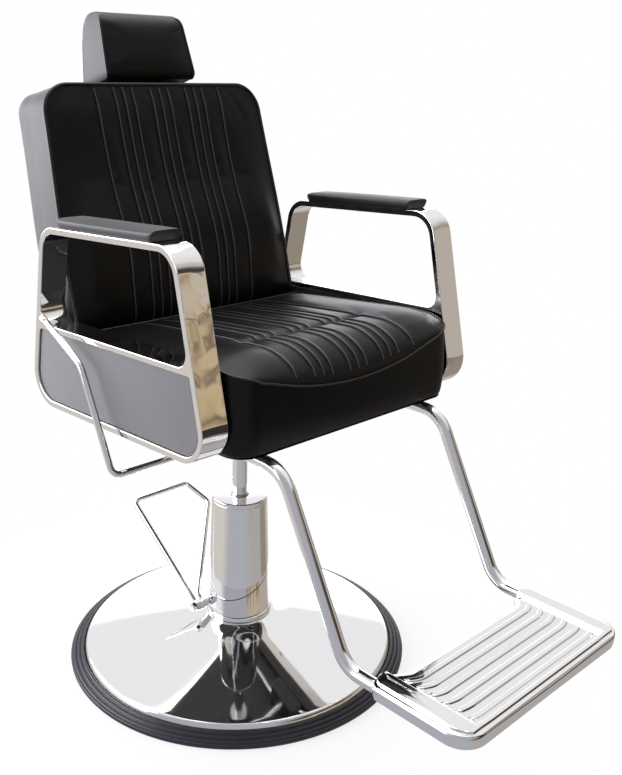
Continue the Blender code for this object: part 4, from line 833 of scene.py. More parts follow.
lever_path = bent([(0.144, -0.070, 0.481), (LEVER_X, -0.070, 0.481), LEVER_KNEE, LEVER_END],
                  [0.016, 0.034], 16)
bar_piece("lever_bar", lever_path, LEVER_R, 28, "lever", "recline_lever")
tip_line = [(0.0, 0.0), (0.0056, 0.0), (0.0062, 0.0008), (0.0065, 0.0035), (0.0065, 0.0080), (0.0061, 0.0112),
            (0.0051, 0.0138), (0.0036, 0.0152), (0.0018, 0.0159), (0.0, 0.0160)]
tip = turned("lever_tip", tip_line, 40)
tip_turn = (LEVER_END - LEVER_KNEE).to_track_quat("Z", "Y").to_matrix().to_4x4()
tip.transform(Matrix.Translation(LEVER_END) @ tip_turn)
dress("lever_tip", tip, TURNED_CHROME, "lever", ["lever_cap"], 50.0, False)

# %% [markdown]
# ## The footrest tubes
#
# Two tubes leave the seat frame, slope down and forward, and level out inside the foot plate. Both sides
# are the same, so one loop makes them, with the sign of the side before the sideways measure.

# %% Footrest tubes
TUBE_X = 0.1886
TUBE_R = 0.0110
TUBE_Z = 0.5515 - 0.004 - 0.0003 - TUBE_R
TUBE_DROP = 0.2710

tube_side = [(-0.055, 0.0), (-0.3175, 0.0), (-0.4640, -TUBE_DROP), (-0.600, -TUBE_DROP)]
for word, side in SIDES:
    tube_path = bent([(side * TUBE_X, y, TUBE_Z + z) for y, z in tube_side], [0.060, 0.050], 20)
    bar_piece("footrest_tube_" + word, tube_path, TUBE_R, 40, "seat", "foot_tube_" + word)

# %% [markdown]
# ## The arms
#
# Each arm is a flat chrome bar bent into a closed loop with a rail across the middle. A flat curve with
# holes, given a thickness and a rounded edge, is the shortest way to that shape; it is made a mesh before
# it is stood up.


# %% Outlines of an arm
ARM_IN = 0.257
ARM_OUT = ARM_IN + 0.049
ARM_T = 0.011
ARM_CORNERS = [(0.149, 0.847), (-0.2132, 0.8694), (-0.2872, 0.5525), (0.209, 0.531)]
ARM_ROUNDS = (0.045, 0.048, 0.054, 0.055)
MID_LINE = ((0.20, 0.6735), (-0.26, 0.6935))
MID_HALF = 0.005


def moved_in(outline, step):
    """The sides of an outline moved towards its middle."""
    result = []
    for k, point in enumerate(outline):
        here = Vector(point)
        back = (here - Vector(outline[k - 1])).normalized()
        ahead = (Vector(outline[(k + 1) % len(outline)]) - here).normalized()
        both = Vector((-back.y, back.x)) + Vector((-ahead.y, ahead.x))
        result.append(tuple(here + both * (step / (0.5 * both.length_squared))))
    return result


def line_at(line, y):
    """Height of a straight line at one place."""
    (y0, z0), (y1, z1) = line
    return z0 + (z1 - z0) * (y - y0) / (y1 - y0)


def clipped(outline, keep):
    """The part of an outline where keep is not negative."""
    result = []
    for k, point in enumerate(outline):
        before = outline[k - 1]
        d0 = keep(before)
        d1 = keep(point)
        if (d0 >= 0) != (d1 >= 0):
            t = d0 / (d0 - d1)
            result.append((before[0] + t * (point[0] - before[0]), before[1] + t * (point[1] - before[1])))
        if d1 >= 0:
            result.append(point)
    return result


arm_inner = moved_in(ARM_CORNERS, ARM_T)
upper_corners = clipped(arm_inner, lambda p: p[1] - line_at(MID_LINE, p[0]) - MID_HALF)
lower_corners = clipped(arm_inner, lambda p: line_at(MID_LINE, p[0]) - MID_HALF - p[1])
arm_loops = [[tuple(p) for p in round_corners(ARM_CORNERS, ARM_ROUNDS, 18)],
             [tuple(p) for p in round_corners(upper_corners, (0.028, 0.034, 0.038, 0.022), 14)],
             [tuple(p) for p in round_corners(lower_corners, (0.010, 0.004, 0.040, 0.044), 14)]]
print("arm outlines", [len(loop) for loop in arm_loops], "points")


# %% Arms
ARM_EDGE = 0.0016


def flat_bar(name, loops, depth, edge):
    """A flat outline with holes, given a depth and rounded edges; u, v and depth become y, z and x."""
    curve = bpy.data.curves.new(name, "CURVE")
    curve.dimensions = "2D"
    curve.fill_mode = "BOTH"
    curve.extrude = depth / 2.0 - edge
    curve.bevel_depth = edge
    curve.bevel_resolution = 3
    curve.offset = -edge
    for loop in loops:
        spline = curve.splines.new("POLY")
        spline.points.add(len(loop) - 1)
        for point, (u, v) in zip(spline.points, loop):
            point.co = (u, v, 0.0, 1.0)
        spline.use_cyclic_u = True
    maker = linked(name, curve)
    bm = bmesh.new()
    bm.from_mesh(baked(maker))
    bpy.data.objects.remove(maker, do_unlink=True)
    for vert in bm.verts:
        vert.co = (vert.co.z, vert.co.x, vert.co.y)
    return closed_mesh(name, bm)


for word, side in SIDES:
    arm = flat_bar("arm_loop_" + word, arm_loops, ARM_OUT - ARM_IN, ARM_EDGE)
    arm.transform(Matrix.Translation((side * (ARM_IN + ARM_OUT) / 2.0, 0.0, 0.0)))
    dress("arm_loop_" + word, arm, BAR_CHROME, "seat", ["arm_frame_" + word], 40.0)

# %% [markdown]
# ## The foot plate
#
# A chrome casting with raised side borders over the tubes, a raised front border, and six rounded ribs
# across the tread. The top is a height map on a fine grid; the skirt hangs from its edge and the underside
# stays open.


# %% Form of the foot plate
FOOT_HALF = 0.205
FOOT_REAR = -0.523
FOOT_FRONT = -0.700
FOOT_LONG = FOOT_REAR - FOOT_FRONT
FOOT_TOP = TUBE_Z - TUBE_DROP + TUBE_R + 0.0046
FOOT_INSIDE = FOOT_HALF - 0.038
FRONT_ROUND = 0.040
REAR_ROUND = 0.016
REAR_HOLLOW = 0.016
TREAD_END = FOOT_INSIDE - 0.014
TREAD_DEEP = 0.0060
TREAD_LONG = 0.161
RIB_HIGH = 0.0026
RIBS = [0.16 + 0.66 * k / 5.0 for k in range(6)]


def foot_half(s):
    """Half width of the plate, with round corners in front and smaller ones at the rear."""
    past = max(0.0, FOOT_LONG * s - (FOOT_LONG - FRONT_ROUND))
    half = FOOT_HALF - FRONT_ROUND + math.sqrt(max(FRONT_ROUND ** 2 - past ** 2, 0.0))
    behind = max(0.0, REAR_ROUND - FOOT_LONG * s)
    return half - REAR_ROUND + math.sqrt(max(REAR_ROUND ** 2 - behind ** 2, 0.0))


def border_height(d):
    """Height of the raised border at a distance from the plate's edge: an outer lip, a step and a bead."""
    lip = -0.0034 - 0.0022 * (1.0 - min(1.0, d / 0.003)) ** 2
    bead = 0.0006 * math.sin(math.pi * min(1.0, max(0.0, (d - 0.009) / 0.022)))
    return lip * (1.0 - ease(0.0078, 0.0096, d)) + bead


def foot_point(a, s):
    """Place on the top of the plate; a runs across and s from 0 at the rear to 1 in front."""
    rear = FOOT_REAR - REAR_HOLLOW * (1.0 - ease(FOOT_INSIDE - 0.035, FOOT_INSIDE, abs(a)))
    y = rear + (FOOT_FRONT - rear) * s
    edge = min(foot_half(s) - abs(a), (1.0 - s) * FOOT_LONG)
    raised_side = ease(FOOT_INSIDE - 0.0035, FOOT_INSIDE, abs(a))
    raised = max(raised_side, ease(0.895, 0.914, s))
    groove = 0.0008 * math.exp(-((abs(a) - FOOT_INSIDE + 0.0045) / 0.0012) ** 2) * (1.0 - ease(0.88, 0.90, s))
    z = FOOT_TOP - TREAD_DEEP * (1.0 - raised) - groove + float(border_height(edge)) * raised
    for r in RIBS:
        off = math.hypot(max(0.0, abs(a) - TREAD_END), (s - r) * TREAD_LONG)
        z += RIB_HIGH * (1.0 - ease(0.0034, 0.0054, off))
    z -= 0.004 * (1.0 - ease(0.0, 0.07, s)) * (1.0 - raised_side)
    return y, float(z)


print("foot plate", round(2.0 * FOOT_HALF, 3), "wide,", len(RIBS), "ribs")


# %% Foot plate
SKIRT_LOW = FOOT_TOP - 0.0250
SKIRT_FORM = ((0.0010, 0.0008), (0.0030, 0.0014), (0.0080, 0.0014), (0.0150, 0.0004), (0.0300, -0.0010))
PLATE_WALL = 0.0028


def foot_grid():
    """Rows and columns of the top, closer together where a rib or a border rises."""
    slopes = (0.019, 0.0235, 0.028, 0.0325, 0.036)
    near_rib = [r + side * step for r in RIBS for side in (-1, 1) for step in slopes]
    rows = np.concatenate([np.linspace(0.0, 1.0, 80), near_rib, np.linspace(0.0, 0.09, 14),
                           np.linspace(0.885, 0.925, 14), np.linspace(0.935, 1.0, 26)])
    edge = np.concatenate([np.linspace(0.70, 1.0, 48), np.linspace(0.790, 0.825, 12),
                           np.linspace(0.945, 1.0, 16)])
    across = np.concatenate([np.linspace(-0.7, 0.7, 41), edge, -edge])
    return sorted(set(np.round(rows, 4))), sorted(set(np.round(across, 4)))


def border(rows, across):
    """Indices round the edge of a grid."""
    ring = [(0, i) for i in range(across - 1)] + [(j, across - 1) for j in range(rows - 1)]
    ring += [(rows - 1, i) for i in range(across - 1, 0, -1)] + [(j, 0) for j in range(rows - 1, 0, -1)]
    return ring


def foot_plate():
    """The top, its skirt and a wall of even thickness."""
    bm = bmesh.new()
    rows, across = foot_grid()
    grid = []
    for s in rows:
        half = foot_half(s)
        grid.append([bm.verts.new((u * half, *foot_point(u * half, s))) for u in across])
    grid_faces(bm, grid)
    rim = [grid[j][i] for j, i in border(len(rows), len(across))]
    middle = Vector((0.0, (FOOT_REAR + FOOT_FRONT) / 2.0, 0.0))
    upper = rim
    for drop, push in SKIRT_FORM:
        ring = []
        for vert in rim:
            out = (vert.co - middle) * Vector((1.0, 1.0, 0.0))
            spot = vert.co + out.normalized() * push
            ring.append(bm.verts.new((spot.x, spot.y, max(SKIRT_LOW, vert.co.z - drop))))
        bridge(bm, upper, ring)
        upper = ring
    bmesh.ops.recalc_face_normals(bm, faces=bm.faces)
    if sum(f.normal.z for f in bm.faces) < 0:
        bmesh.ops.reverse_faces(bm, faces=bm.faces)
    mesh = bpy.data.meshes.new("foot_casting")
    bm.to_mesh(mesh)
    bm.free()
    maker = linked("foot_casting_maker", mesh)
    wall = maker.modifiers.new("wall", "SOLIDIFY")
    wall.thickness = PLATE_WALL
    wall.offset = -1.0
    result = baked(maker)
    bpy.data.objects.remove(maker, do_unlink=True)
    return result


dress("foot_casting", foot_plate(), CAST_CHROME, "seat", ["foot_plate"], 45.0)

# %% [markdown]
# ## Padded forms
#
# Each cushion is a sewn case: a top panel, a strip of boxing round it and a flat underside. The panel is
# drawn as a fine grid whose columns follow the sewn lines. Then the case is stuffed: a cloth simulation
# blows the panel up from inside while the seams and the sewn lines stay where the needle put them, so the
# leather swells between them.


# %% Panel of a cushion
SEWN = (-0.138, -0.0985, -0.079, -0.0595, -0.0195, 0.0, 0.0195, 0.0595, 0.079, 0.0985, 0.138)
BESIDE_RIGHT = [0.0, 0.0011, 0.0022, 0.0034, 0.0050]
BESIDE_LEFT = [0.0013, 0.0030]


def columns_for(half, inner, lines=SEWN, pitch=0.0052):
    """Places across a panel from -1 to 1: fixed ones at the sewn lines, then shares out to the edge."""
    fixed = set()
    stops = [-inner, *lines, inner]
    for left, right in zip(stops, stops[1:]):
        near = BESIDE_RIGHT if left in lines else [0.0]
        near_right = BESIDE_LEFT if right in lines else []
        fixed.update(round(left + d, 6) for d in near)
        fixed.update(round(right - d, 6) for d in near_right)
        start = left + near[-1]
        stop = right - (near_right[-1] if near_right else 0.0)
        count = max(1, round((stop - start) / pitch))
        fixed.update(round(start + (stop - start) * k / count, 6) for k in range(count + 1))
        fixed.add(round(right, 6))
    outside = max(3, round((half - inner) / pitch))
    shares = [1.0 - (1.0 - k / outside) ** 1.25 for k in range(1, outside + 1)]
    return sorted(fixed), shares


def panel_grid(columns, shares, rows, half_at, top):
    """Local points (across, along, height) of a panel."""
    grid = []
    for b in rows:
        half = half_at(b)
        edge = columns[-1]
        right = [edge + (half - edge) * t for t in shares]
        line = [-a for a in reversed(right)] + columns + right
        grid.append([(a, *top(a, b)) for a in line])
    return np.array(grid, float)


def sewn_share(line, margin=0.0014):
    """1 on the sewn columns of a row of panel points, 0 between them."""
    return np.array([1.0 if any(abs(a - x) < margin for x in SEWN) else 0.0 for a in line])


def hold_edge(held):
    """Hold the seam round a panel."""
    held[[0, -1], :] = 1.0
    held[:, [0, -1]] = 1.0
    return held


print("sewn lines", len(SEWN))


# %% Stuffing
STUFFING = {"quality": 5, "mass": 0.3, "tension_stiffness": 15.0, "compression_stiffness": 15.0,
            "shear_stiffness": 8.0, "bending_stiffness": 0.5, "use_pressure": True,
            "uniform_pressure_force": 4.0}
STUFFING_STEPS = 20


def stuffed(name, grid, held, outward, cap):
    """Blow a panel up by cloth simulation; held vertices stay, and no point moves more than the cap."""
    rows, across = held.shape
    starts = [j * across + i for j in range(rows - 1) for i in range(across - 1)]
    faces = [(k, k + 1, k + across + 1, k + across) for k in starts]
    mesh = bpy.data.meshes.new(name + "_panel")
    mesh.from_pydata([tuple(p) for p in grid.reshape(-1, 3)], [], faces)
    mesh.update()
    facing = sum((p.normal * p.area for p in mesh.polygons), Vector())
    if facing.dot(Vector(outward)) < 0:
        mesh.flip_normals()
    panel = linked(name + "_panel", mesh)
    group = panel.vertex_groups.new(name="sewn")
    for k, weight in enumerate(held.ravel()):
        if weight > 0.0:
            group.add([k], float(weight), "REPLACE")
    cloth = panel.modifiers.new("stuffing", "CLOTH")
    for key, value in STUFFING.items():
        setattr(cloth.settings, key, value)
    cloth.settings.vertex_group_mass = "sewn"
    cloth.settings.effector_weights.gravity = 0.0
    cloth.collision_settings.use_collision = False
    cloth.point_cache.frame_start = 1
    cloth.point_cache.frame_end = STUFFING_STEPS
    for number in range(1, STUFFING_STEPS + 1):
        bpy.context.scene.frame_set(number)
    moved = baked(panel)
    spots = np.zeros(len(moved.vertices) * 3)
    moved.vertices.foreach_get("co", spots)
    bpy.data.objects.remove(panel, do_unlink=True)
    bpy.context.scene.frame_set(1)
    shift = spots.reshape(rows, across, 3) - grid
    reach = np.linalg.norm(shift, axis=2, keepdims=True)
    print(name, "stuffed, largest move %.1f mm" % (reach.max() * 1000.0))
    return grid + shift * (cap * np.tanh(reach / cap) / np.maximum(reach, 1e-9))


print("stuffing pressure", STUFFING["uniform_pressure_force"])


# %% Case of a cushion
def case_mesh(name, panel, low, boxing):
    """Panel, boxing and underside as one closed form; boxing lists (share of the way down, push out)."""
    rows, across = panel.shape[:2]
    bm = bmesh.new()
    top = [[bm.verts.new(spot) for spot in row] for row in panel]
    grid_faces(bm, top)
    ring = border(rows, across)
    seam = [Vector(panel[j, i]) for j, i in ring]
    foot = [Vector(low[j, i]) for j, i in ring]
    middle = sum(seam, Vector()) / len(seam)
    down = (sum(foot, Vector()) / len(foot) - middle).normalized()
    upper = [top[j][i] for j, i in ring]
    for share, push in boxing:
        lower = []
        for n in range(len(ring)):
            run = seam[(n + 1) % len(ring)] - seam[n - 1]
            out = run.cross(down).normalized()
            if out.dot(seam[n] - middle) < 0:
                out = -out
            lower.append(bm.verts.new(seam[n].lerp(foot[n], share) + out * push))
        bridge(bm, upper, lower)
        upper = lower
    rim = dict(zip(ring, upper))
    under = [[rim.get((j, i)) or bm.verts.new(low[j, i]) for j in range(rows)] for i in range(across)]
    grid_faces(bm, under)
    bmesh.ops.recalc_face_normals(bm, faces=bm.faces)
    mesh = bpy.data.meshes.new(name)
    bm.to_mesh(mesh)
    bm.free()
    return mesh


def panel_faces(panel):
    """Number of faces of a panel; they come first in its case."""
    return (panel.shape[0] - 1) * (panel.shape[1] - 1)


def sides_painted_lighter(piece, first, flank=0.0):
    """Give the faces from a number on the side leather, a copy painted lighter for the window's light, if
    they face enough to one side.
    """
    piece.data.materials.append(SIDE_LEATHER_LIT)
    for face in piece.data.polygons[first:]:
        if abs(face.normal.x) >= flank:
            face.material_index = 1


print("case helpers ready")


# %% Tucks
TUCK_DEEP = 0.0012
TUCK_LIP = 0.0013
TUCK_WIDE = 0.0014
LIP_BESIDE = 0.0026


def tucks(a):
    """The fold at each sewn line: a narrow dip with a raised lip beside it."""
    total = 0.0
    for x in SEWN:
        total -= TUCK_DEEP * math.exp(-((a - x) / TUCK_WIDE) ** 2)
        total += TUCK_LIP * math.exp(-((a - x - LIP_BESIDE) / TUCK_WIDE) ** 2)
    return total


print("tuck depth", TUCK_DEEP)

# %% [markdown]
# ## The seat
#
# The seat is the piece a buyer looks at first. It is a little bucket: low at the back, with bolsters along
# the sides and a roll over the sitter's knees. Behind the roll lies a crease; in front the roll turns down
# in a quarter round to a seam that sags in the middle. Eleven tucks run along it in groups, and they are
# sunk square to the surface, so they follow the roll all the way down.


# %% Form of the seat
SEAT_HALF = 0.250
SEAT_REAR = 0.115
SEAT_FRONT = -0.287
SEAT_BOW = 0.006
SEAT_INSET = 0.001
SEAT_SEAM = 0.690
SEAT_LOW = 0.5518
SEAT_CORNER = 0.042
SEAT_ROLL = 0.81
ROLL_DROP = 0.0577
MIDDLE_RISE = 0.003
MIDDLE_FALL = 0.031
SIDE_FALL = 0.027
BOLSTER_HIGH = 0.007
CORNER_DROP = 0.006
SEAT_CREASE = 0.668
CREASE_DEEP = 0.005
CREASE_WIDE = 0.024


def seat_half(s):
    """Half width of the seat, with round front corners."""
    depth = SEAT_REAR - SEAT_FRONT + SEAT_BOW
    past = max(0.0, s * depth - (depth - SEAT_CORNER))
    return SEAT_HALF - SEAT_INSET - SEAT_CORNER + math.sqrt(max(SEAT_CORNER ** 2 - past ** 2, 0.0))


def seat_form(a, s):
    """The seat without its tucks; s runs from 0 at the rear seam to 1 at the front seam."""
    front = SEAT_FRONT - SEAT_BOW + SEAT_BOW * (a / SEAT_HALF) ** 2
    y = SEAT_REAR + (front - SEAT_REAR) * s
    share = abs(a) / SEAT_HALF
    side = SEAT_SEAM - SIDE_FALL * max(0.0, 1.0 - s / 0.74)
    middle = SEAT_SEAM + MIDDLE_RISE - MIDDLE_FALL * max(0.0, 1.0 - s / SEAT_ROLL) ** 1.25
    out = min(1.0, max(0.0, share - 0.55) / 0.45)
    bolster = BOLSTER_HIGH * math.sin(math.pi * out) * ease(0.0, 0.10, s) * (1.0 - 0.8 * ease(0.82, 0.98, s))
    z = middle + (side - middle) * ease(0.0, 1.0, out) + bolster
    z -= CORNER_DROP * ease(0.85, 0.96, s) * ease(0.80, 1.0, share)
    z -= CREASE_DEEP * (1.0 - ease(0.48, 0.64, share)) * math.exp(-((s - SEAT_CREASE) / CREASE_WIDE) ** 2)
    turn = min(1.0, max(0.0, s - SEAT_ROLL) / (1.0 - SEAT_ROLL))
    z -= ROLL_DROP * (1.0 - 0.89 * share * share) * (1.0 - math.sqrt(max(0.0, 1.0 - turn * turn)))
    return y, float(z)


def seat_point(a, s):
    """The form with its tucks, sunk square to the surface."""
    y, z = seat_form(a, s)
    y0, z0 = seat_form(a, s - 0.004)
    y1, z1 = seat_form(a, min(1.0, s + 0.004))
    run = Vector((y1 - y0, z1 - z0)).normalized()
    fade = ease(0.02, 0.10, s) * (1.0 - ease(0.955, 0.995, s))
    depth = float(fade) * tucks(a)
    return y + run.y * depth, z - run.x * depth


print("seat middle, rear and front seam", [round(seat_form(0.0, s)[1], 4) for s in (0.0, 1.0)])

# %% Seat case
SEAT_PLUMP = 0.0055
CREASE_HOLD = 0.35

seat_columns, seat_shares = columns_for(SEAT_HALF - SEAT_INSET, 0.200)
seat_rows = [*np.linspace(0.0, 0.56, 42), *np.linspace(0.57, 0.74, 24), *np.linspace(0.75, 0.90, 14)]
seat_rows += [1.0 - 0.09 * (1.0 - math.sin(math.pi / 2 * k / 22.0)) for k in range(23)]
seat_panel = panel_grid(seat_columns, seat_shares, seat_rows, seat_half, seat_point)
seat_held = np.array([sewn_share(line[:, 0]) for line in seat_panel])
for j, s in enumerate(seat_rows):
    seat_held[j] *= float(1.0 - 0.75 * ease(0.96, 1.0, s))
    if abs(s - SEAT_CREASE) < 0.006:
        seat_held[j] = np.maximum(seat_held[j], CREASE_HOLD * (np.abs(seat_panel[j, :, 0]) < 0.13))
seat_stuffed = stuffed("seat", seat_panel, hold_edge(seat_held), (0, 0, 1), SEAT_PLUMP)
seat_under = np.array(seat_panel)
for j, s in enumerate(seat_rows):
    seat_under[j, :, 0] *= (SEAT_HALF + SEAT_INSET) / (SEAT_HALF - SEAT_INSET)
    seat_under[j, :, 1] = SEAT_REAR - 0.004 + (SEAT_FRONT + 0.004 - SEAT_REAR) * s
    seat_under[j, :, 2] = SEAT_LOW
boxing_steps = (0.012, 0.03, 0.08, 0.16, 0.25, 0.34, 0.43, 0.52, 0.61, 0.70, 0.79, 0.87, 0.94, 0.97, 0.99,
                1.0)
seat_boxing = [(t, 0.0040 * math.sin(math.pi * t ** 1.5) - 0.004 * max(0.0, (t - 0.94) / 0.06) ** 2)
               for t in boxing_steps]
seat_case = case_mesh("seat_case", seat_stuffed, seat_under, seat_boxing)
seat = dress("seat_case", seat_case, LEATHER, "seat", ["seat_cushion"], 80.0, False)

# %% [markdown]
# ## The back
#
# The back carries the same tucks, bent into an S by the lumbar swell. It leans with the back's own tilt, so
# its shape is drawn upright and carried over the hinge line. Behind the cushion a wrapped tray closes the
# back.


# %% Form of the back
TILT = math.radians(15.0)
PIVOT = (0.181, 0.580)
BACK_LOW = 0.030
BACK_HIGH = 0.484
BACK_HALF = 0.2515
BACK_TAPER = 0.0140
BACK_CORNER = 0.050
REAR_CORNER = 0.037
MID_CORNER = 0.3 * BACK_CORNER + 0.7 * REAR_CORNER
BACK_FACE = (0.0, -math.cos(TILT), math.sin(TILT))
CUSHION_FRONT = 0.0670
CUSHION_REAR = 0.0088
CROWN = 0.0046
LUMBAR = 0.018
LUMBAR_UP = 0.195
LUMBAR_WIDE = 0.090
LOW_TURN = 0.016
TOP_LIFT = 0.0055


def back_place(points):
    """Carry (across, up the back, forwards) into the leaning back."""
    points = np.asarray(points, float)
    a, v, w = points[..., 0], points[..., 1], points[..., 2]
    y = PIVOT[0] + v * math.sin(TILT) - w * math.cos(TILT)
    z = PIVOT[1] + v * math.cos(TILT) + w * math.sin(TILT)
    return np.stack([a, y, z], axis=-1)


def back_half(v, corner=BACK_CORNER):
    """Half width of the back at a height; its top corners are tighter at the rear than at the front seam."""
    half = BACK_HALF - BACK_TAPER * float(ease(0.16, BACK_HIGH + 0.016, v))
    past = max(0.0, v - (BACK_HIGH - corner))
    return half - corner + math.sqrt(max(corner ** 2 - past ** 2, 0.0))


def rear_height(v, share):
    """Height on the rear edge of a place on the front seam; share says how much of the lift is reached."""
    lift = TOP_LIFT * float(ease(BACK_HIGH - 0.15, BACK_HIGH, v))
    return v + 0.002 * (0.25 - v) / 0.25 + share * lift


def back_point(a, v):
    """Place on the front of the back: crowned, swelling at the lumbar and turned in below."""
    half = back_half(v)
    side = 1.0 - ease(0.80, 1.0, abs(a) / half)
    ends = ease(BACK_LOW, BACK_LOW + 0.07, v) * (1.0 - ease(BACK_HIGH - 0.050, BACK_HIGH, v))
    swell = CROWN * side * ends + LUMBAR * side * ends * math.exp(-((v - LUMBAR_UP) / LUMBAR_WIDE) ** 2)
    swell -= LOW_TURN * (1.0 - ease(BACK_LOW, BACK_LOW + 0.055, v))
    fade = ease(BACK_LOW, BACK_LOW + 0.05, v) * (1.0 - 0.6 * ease(BACK_HIGH - 0.023, BACK_HIGH, v))
    return v, float(CUSHION_FRONT + swell + fade * tucks(a))


print("back", round(2.0 * BACK_HALF, 3), "wide,", round(BACK_HIGH - BACK_LOW, 3), "tall")

# %% Back case
BACK_PLUMP = 0.008

back_columns, back_shares = columns_for(0.2375, 0.170)
back_rows = list(np.linspace(BACK_LOW, BACK_HIGH - 0.05, 62))
back_rows += [BACK_HIGH - 0.05 + 0.05 * math.sin(math.pi / 2 * k / 14.0) for k in range(1, 15)]
back_local = panel_grid(back_columns, back_shares, back_rows, back_half, back_point)
back_held = hold_edge(np.array([sewn_share(line[:, 0]) for line in back_local]))
back_stuffed = stuffed("back", back_place(back_local), back_held, BACK_FACE, BACK_PLUMP)
back_under = np.array(back_local)
for j, v in enumerate(back_rows):
    back_under[j, :, 0] *= back_half(v, MID_CORNER) / back_half(v)
    back_under[j, :, 1] = rear_height(v, 0.6)
    back_under[j, :, 2] = CUSHION_REAR
back_boxing = [(t, 0.0010 * math.sin(math.pi * t))
               for t in (0.03, 0.10, 0.25, 0.4, 0.55, 0.7, 0.85, 0.95, 1.0)]
back_case = case_mesh("back_case", back_stuffed, back_place(back_under), back_boxing)
back = dress("back_case", back_case, LEATHER, "back", ["back_cushion"], 80.0, False)
# The boxing and underside of the back get the leather copy painted lighter for the window's light.
sides_painted_lighter(back, panel_faces(back_stuffed))

# %% Wrapped rear of the back
WRAP_FORM = [(0.0, CUSHION_REAR, 0.0), (0.0, 0.0, 0.25), (0.0002, -0.010, 0.62), (0.0008, -0.020, 1.0),
             (0.0022, -0.0262, 1.0), (0.0048, -0.0302, 1.0), (0.0088, -0.0322, 1.0), (0.0160, -0.0330, 1.0),
             (0.040, -0.0338, 1.0), (0.090, -0.0346, 1.0), (0.150, -0.0350, 1.0)]


def wrapped_tray():
    """The rear of the back: it goes on where the cushion's boxing ends and turns round a soft rear edge."""
    bm = bmesh.new()
    middle = (BACK_LOW + BACK_HIGH) / 2.0
    loops = []
    for inset, w, rear in WRAP_FORM:
        corner = MID_CORNER + (REAR_CORNER - MID_CORNER) * rear
        loop = []
        for j, i in border(*back_local.shape[:2]):
            up = back_rows[j]
            a = back_local[j, i, 0] * back_half(up, corner) / back_half(up)
            a *= max(0.0, 1.0 - inset / max(0.2, min(abs(a) + 0.02, 0.24)))
            v = rear_height(up, 0.6 + 0.4 * rear)
            v = middle + (v - middle) * max(0.0, 1.0 - inset / (BACK_HIGH - middle))
            loop.append(bm.verts.new(back_place((a, v, w))))
        loops.append(loop)
    for outer, inner in zip(loops, loops[1:]):
        bridge(bm, outer, inner)
    bm.faces.new(loops[-1])
    bm.faces.new(loops[0])
    return closed_mesh("back_wrap", bm)


# The tray wears the leather copy painted lighter for the window's light.
tray = dress("back_wrap", wrapped_tray(), SIDE_LEATHER_LIT, "back", ["back_shell"], 60.0, False)

# %% [markdown]
# ## The headrest
#
# A padded block on two flat bars. One panel covers its front, rolls over the top and turns under at the
# bottom; the sides are flat panels set in with piping. It is drawn in the leaning frame of the back, as a
# case like the seat's, and its top is domed afterwards. The wedge below it is a flat outline with rounded
# edges, made as the arms are.


# %% Form of the headrest
HEAD_LOW = 0.4975
HEAD_HIGH = 0.6200
HEAD_TALL = HEAD_HIGH - HEAD_LOW
HEAD_HALF = 0.098
HEAD_FRONT = 0.060
HEAD_FALL = 0.020
HEAD_CROWN = 0.005
TOP_ROUND = 0.028
LOW_ROUND = 0.012


def head_half(v):
    """Half width of the headrest: it narrows upwards, and a little more at both ends."""
    t = (v - HEAD_LOW) / HEAD_TALL
    start = max(0.0, 0.12 - t) / 0.12
    end = max(0.0, t - 0.76) / 0.24
    return HEAD_HALF - 0.0095 * t - 0.004 * start * start - 0.007 * end * end


def round_over(share, radius):
    """How far a round edge of this radius has turned away."""
    return radius * (1.0 - math.sqrt(max(0.0, 1.0 - min(1.0, max(0.0, share)) ** 2)))


def head_point(a, v):
    """Place on the front panel, which rolls over the top and turns under below."""
    t = (v - HEAD_LOW) / HEAD_TALL
    side = 1.0 - ease(0.70, 1.0, abs(a) / head_half(v))
    ends = ease(0.0, 0.22, t) * (1.0 - ease(0.72, 1.0, t))
    low = LOW_ROUND / HEAD_TALL
    high = TOP_ROUND / HEAD_TALL
    turned_away = round_over((t - 1.0 + high) / high, TOP_ROUND) + round_over((low - t) / low, LOW_ROUND)
    return float(v), float(HEAD_FRONT - 0.006 * t - turned_away + HEAD_CROWN * side * ends)


def head_dome(v, w):
    """How far the top of the headrest is domed behind its front roll: a quarter round down to the rear."""
    along = min(1.0, max(0.0, (0.026 - w) / 0.042))
    near_top = float(ease(-0.024, -0.004, v - (HEAD_HIGH - HEAD_FALL * along)))
    return HEAD_FALL * (along - 1.0 + math.sqrt(1.0 - along * along)) * near_top


print("headrest", round(2.0 * HEAD_HALF, 3), "wide,", round(HEAD_TALL, 4), "tall")

# %% Headrest case
HEAD_PLUMP = 0.0025

head_columns, head_shares = columns_for(HEAD_HALF, 0.060, ())
head_steps = [0.1 * (1.0 - math.cos(math.pi / 2 * k / 8.0)) for k in range(9)]
head_steps += list(np.linspace(0.13, 0.74, 16))
head_steps += [0.767 + 0.233 * math.sin(math.pi / 2 * k / 14.0) for k in range(15)]
head_rows = [HEAD_LOW + HEAD_TALL * t for t in head_steps]
head_local = panel_grid(head_columns, head_shares, head_rows, head_half, head_point)
head_held = hold_edge(np.zeros(head_local.shape[:2]))
head_stuffed = stuffed("headrest", back_place(head_local), head_held, BACK_FACE, HEAD_PLUMP)
head_under = np.array(head_local)
for j, v in enumerate(head_rows):
    t = (v - HEAD_LOW) / HEAD_TALL
    head_under[j, :, 0] *= 0.98
    head_under[j, :, 1] = HEAD_LOW + 0.002 + (HEAD_TALL - 0.002 - HEAD_FALL) * t
    head_under[j, :, 2] = -0.0310 + 0.0150 * t
head_boxing = [(t, 0.0026 * math.sin(math.pi * t) - 0.007 * max(0.0, (t - 0.88) / 0.12) ** 2) for t in
               (0.02, 0.06, 0.14, 0.24, 0.34, 0.44, 0.54, 0.64, 0.74, 0.82, 0.88, 0.92, 0.96, 0.985, 1.0)]
head_case = case_mesh("headrest_case", head_stuffed, back_place(head_under), head_boxing)
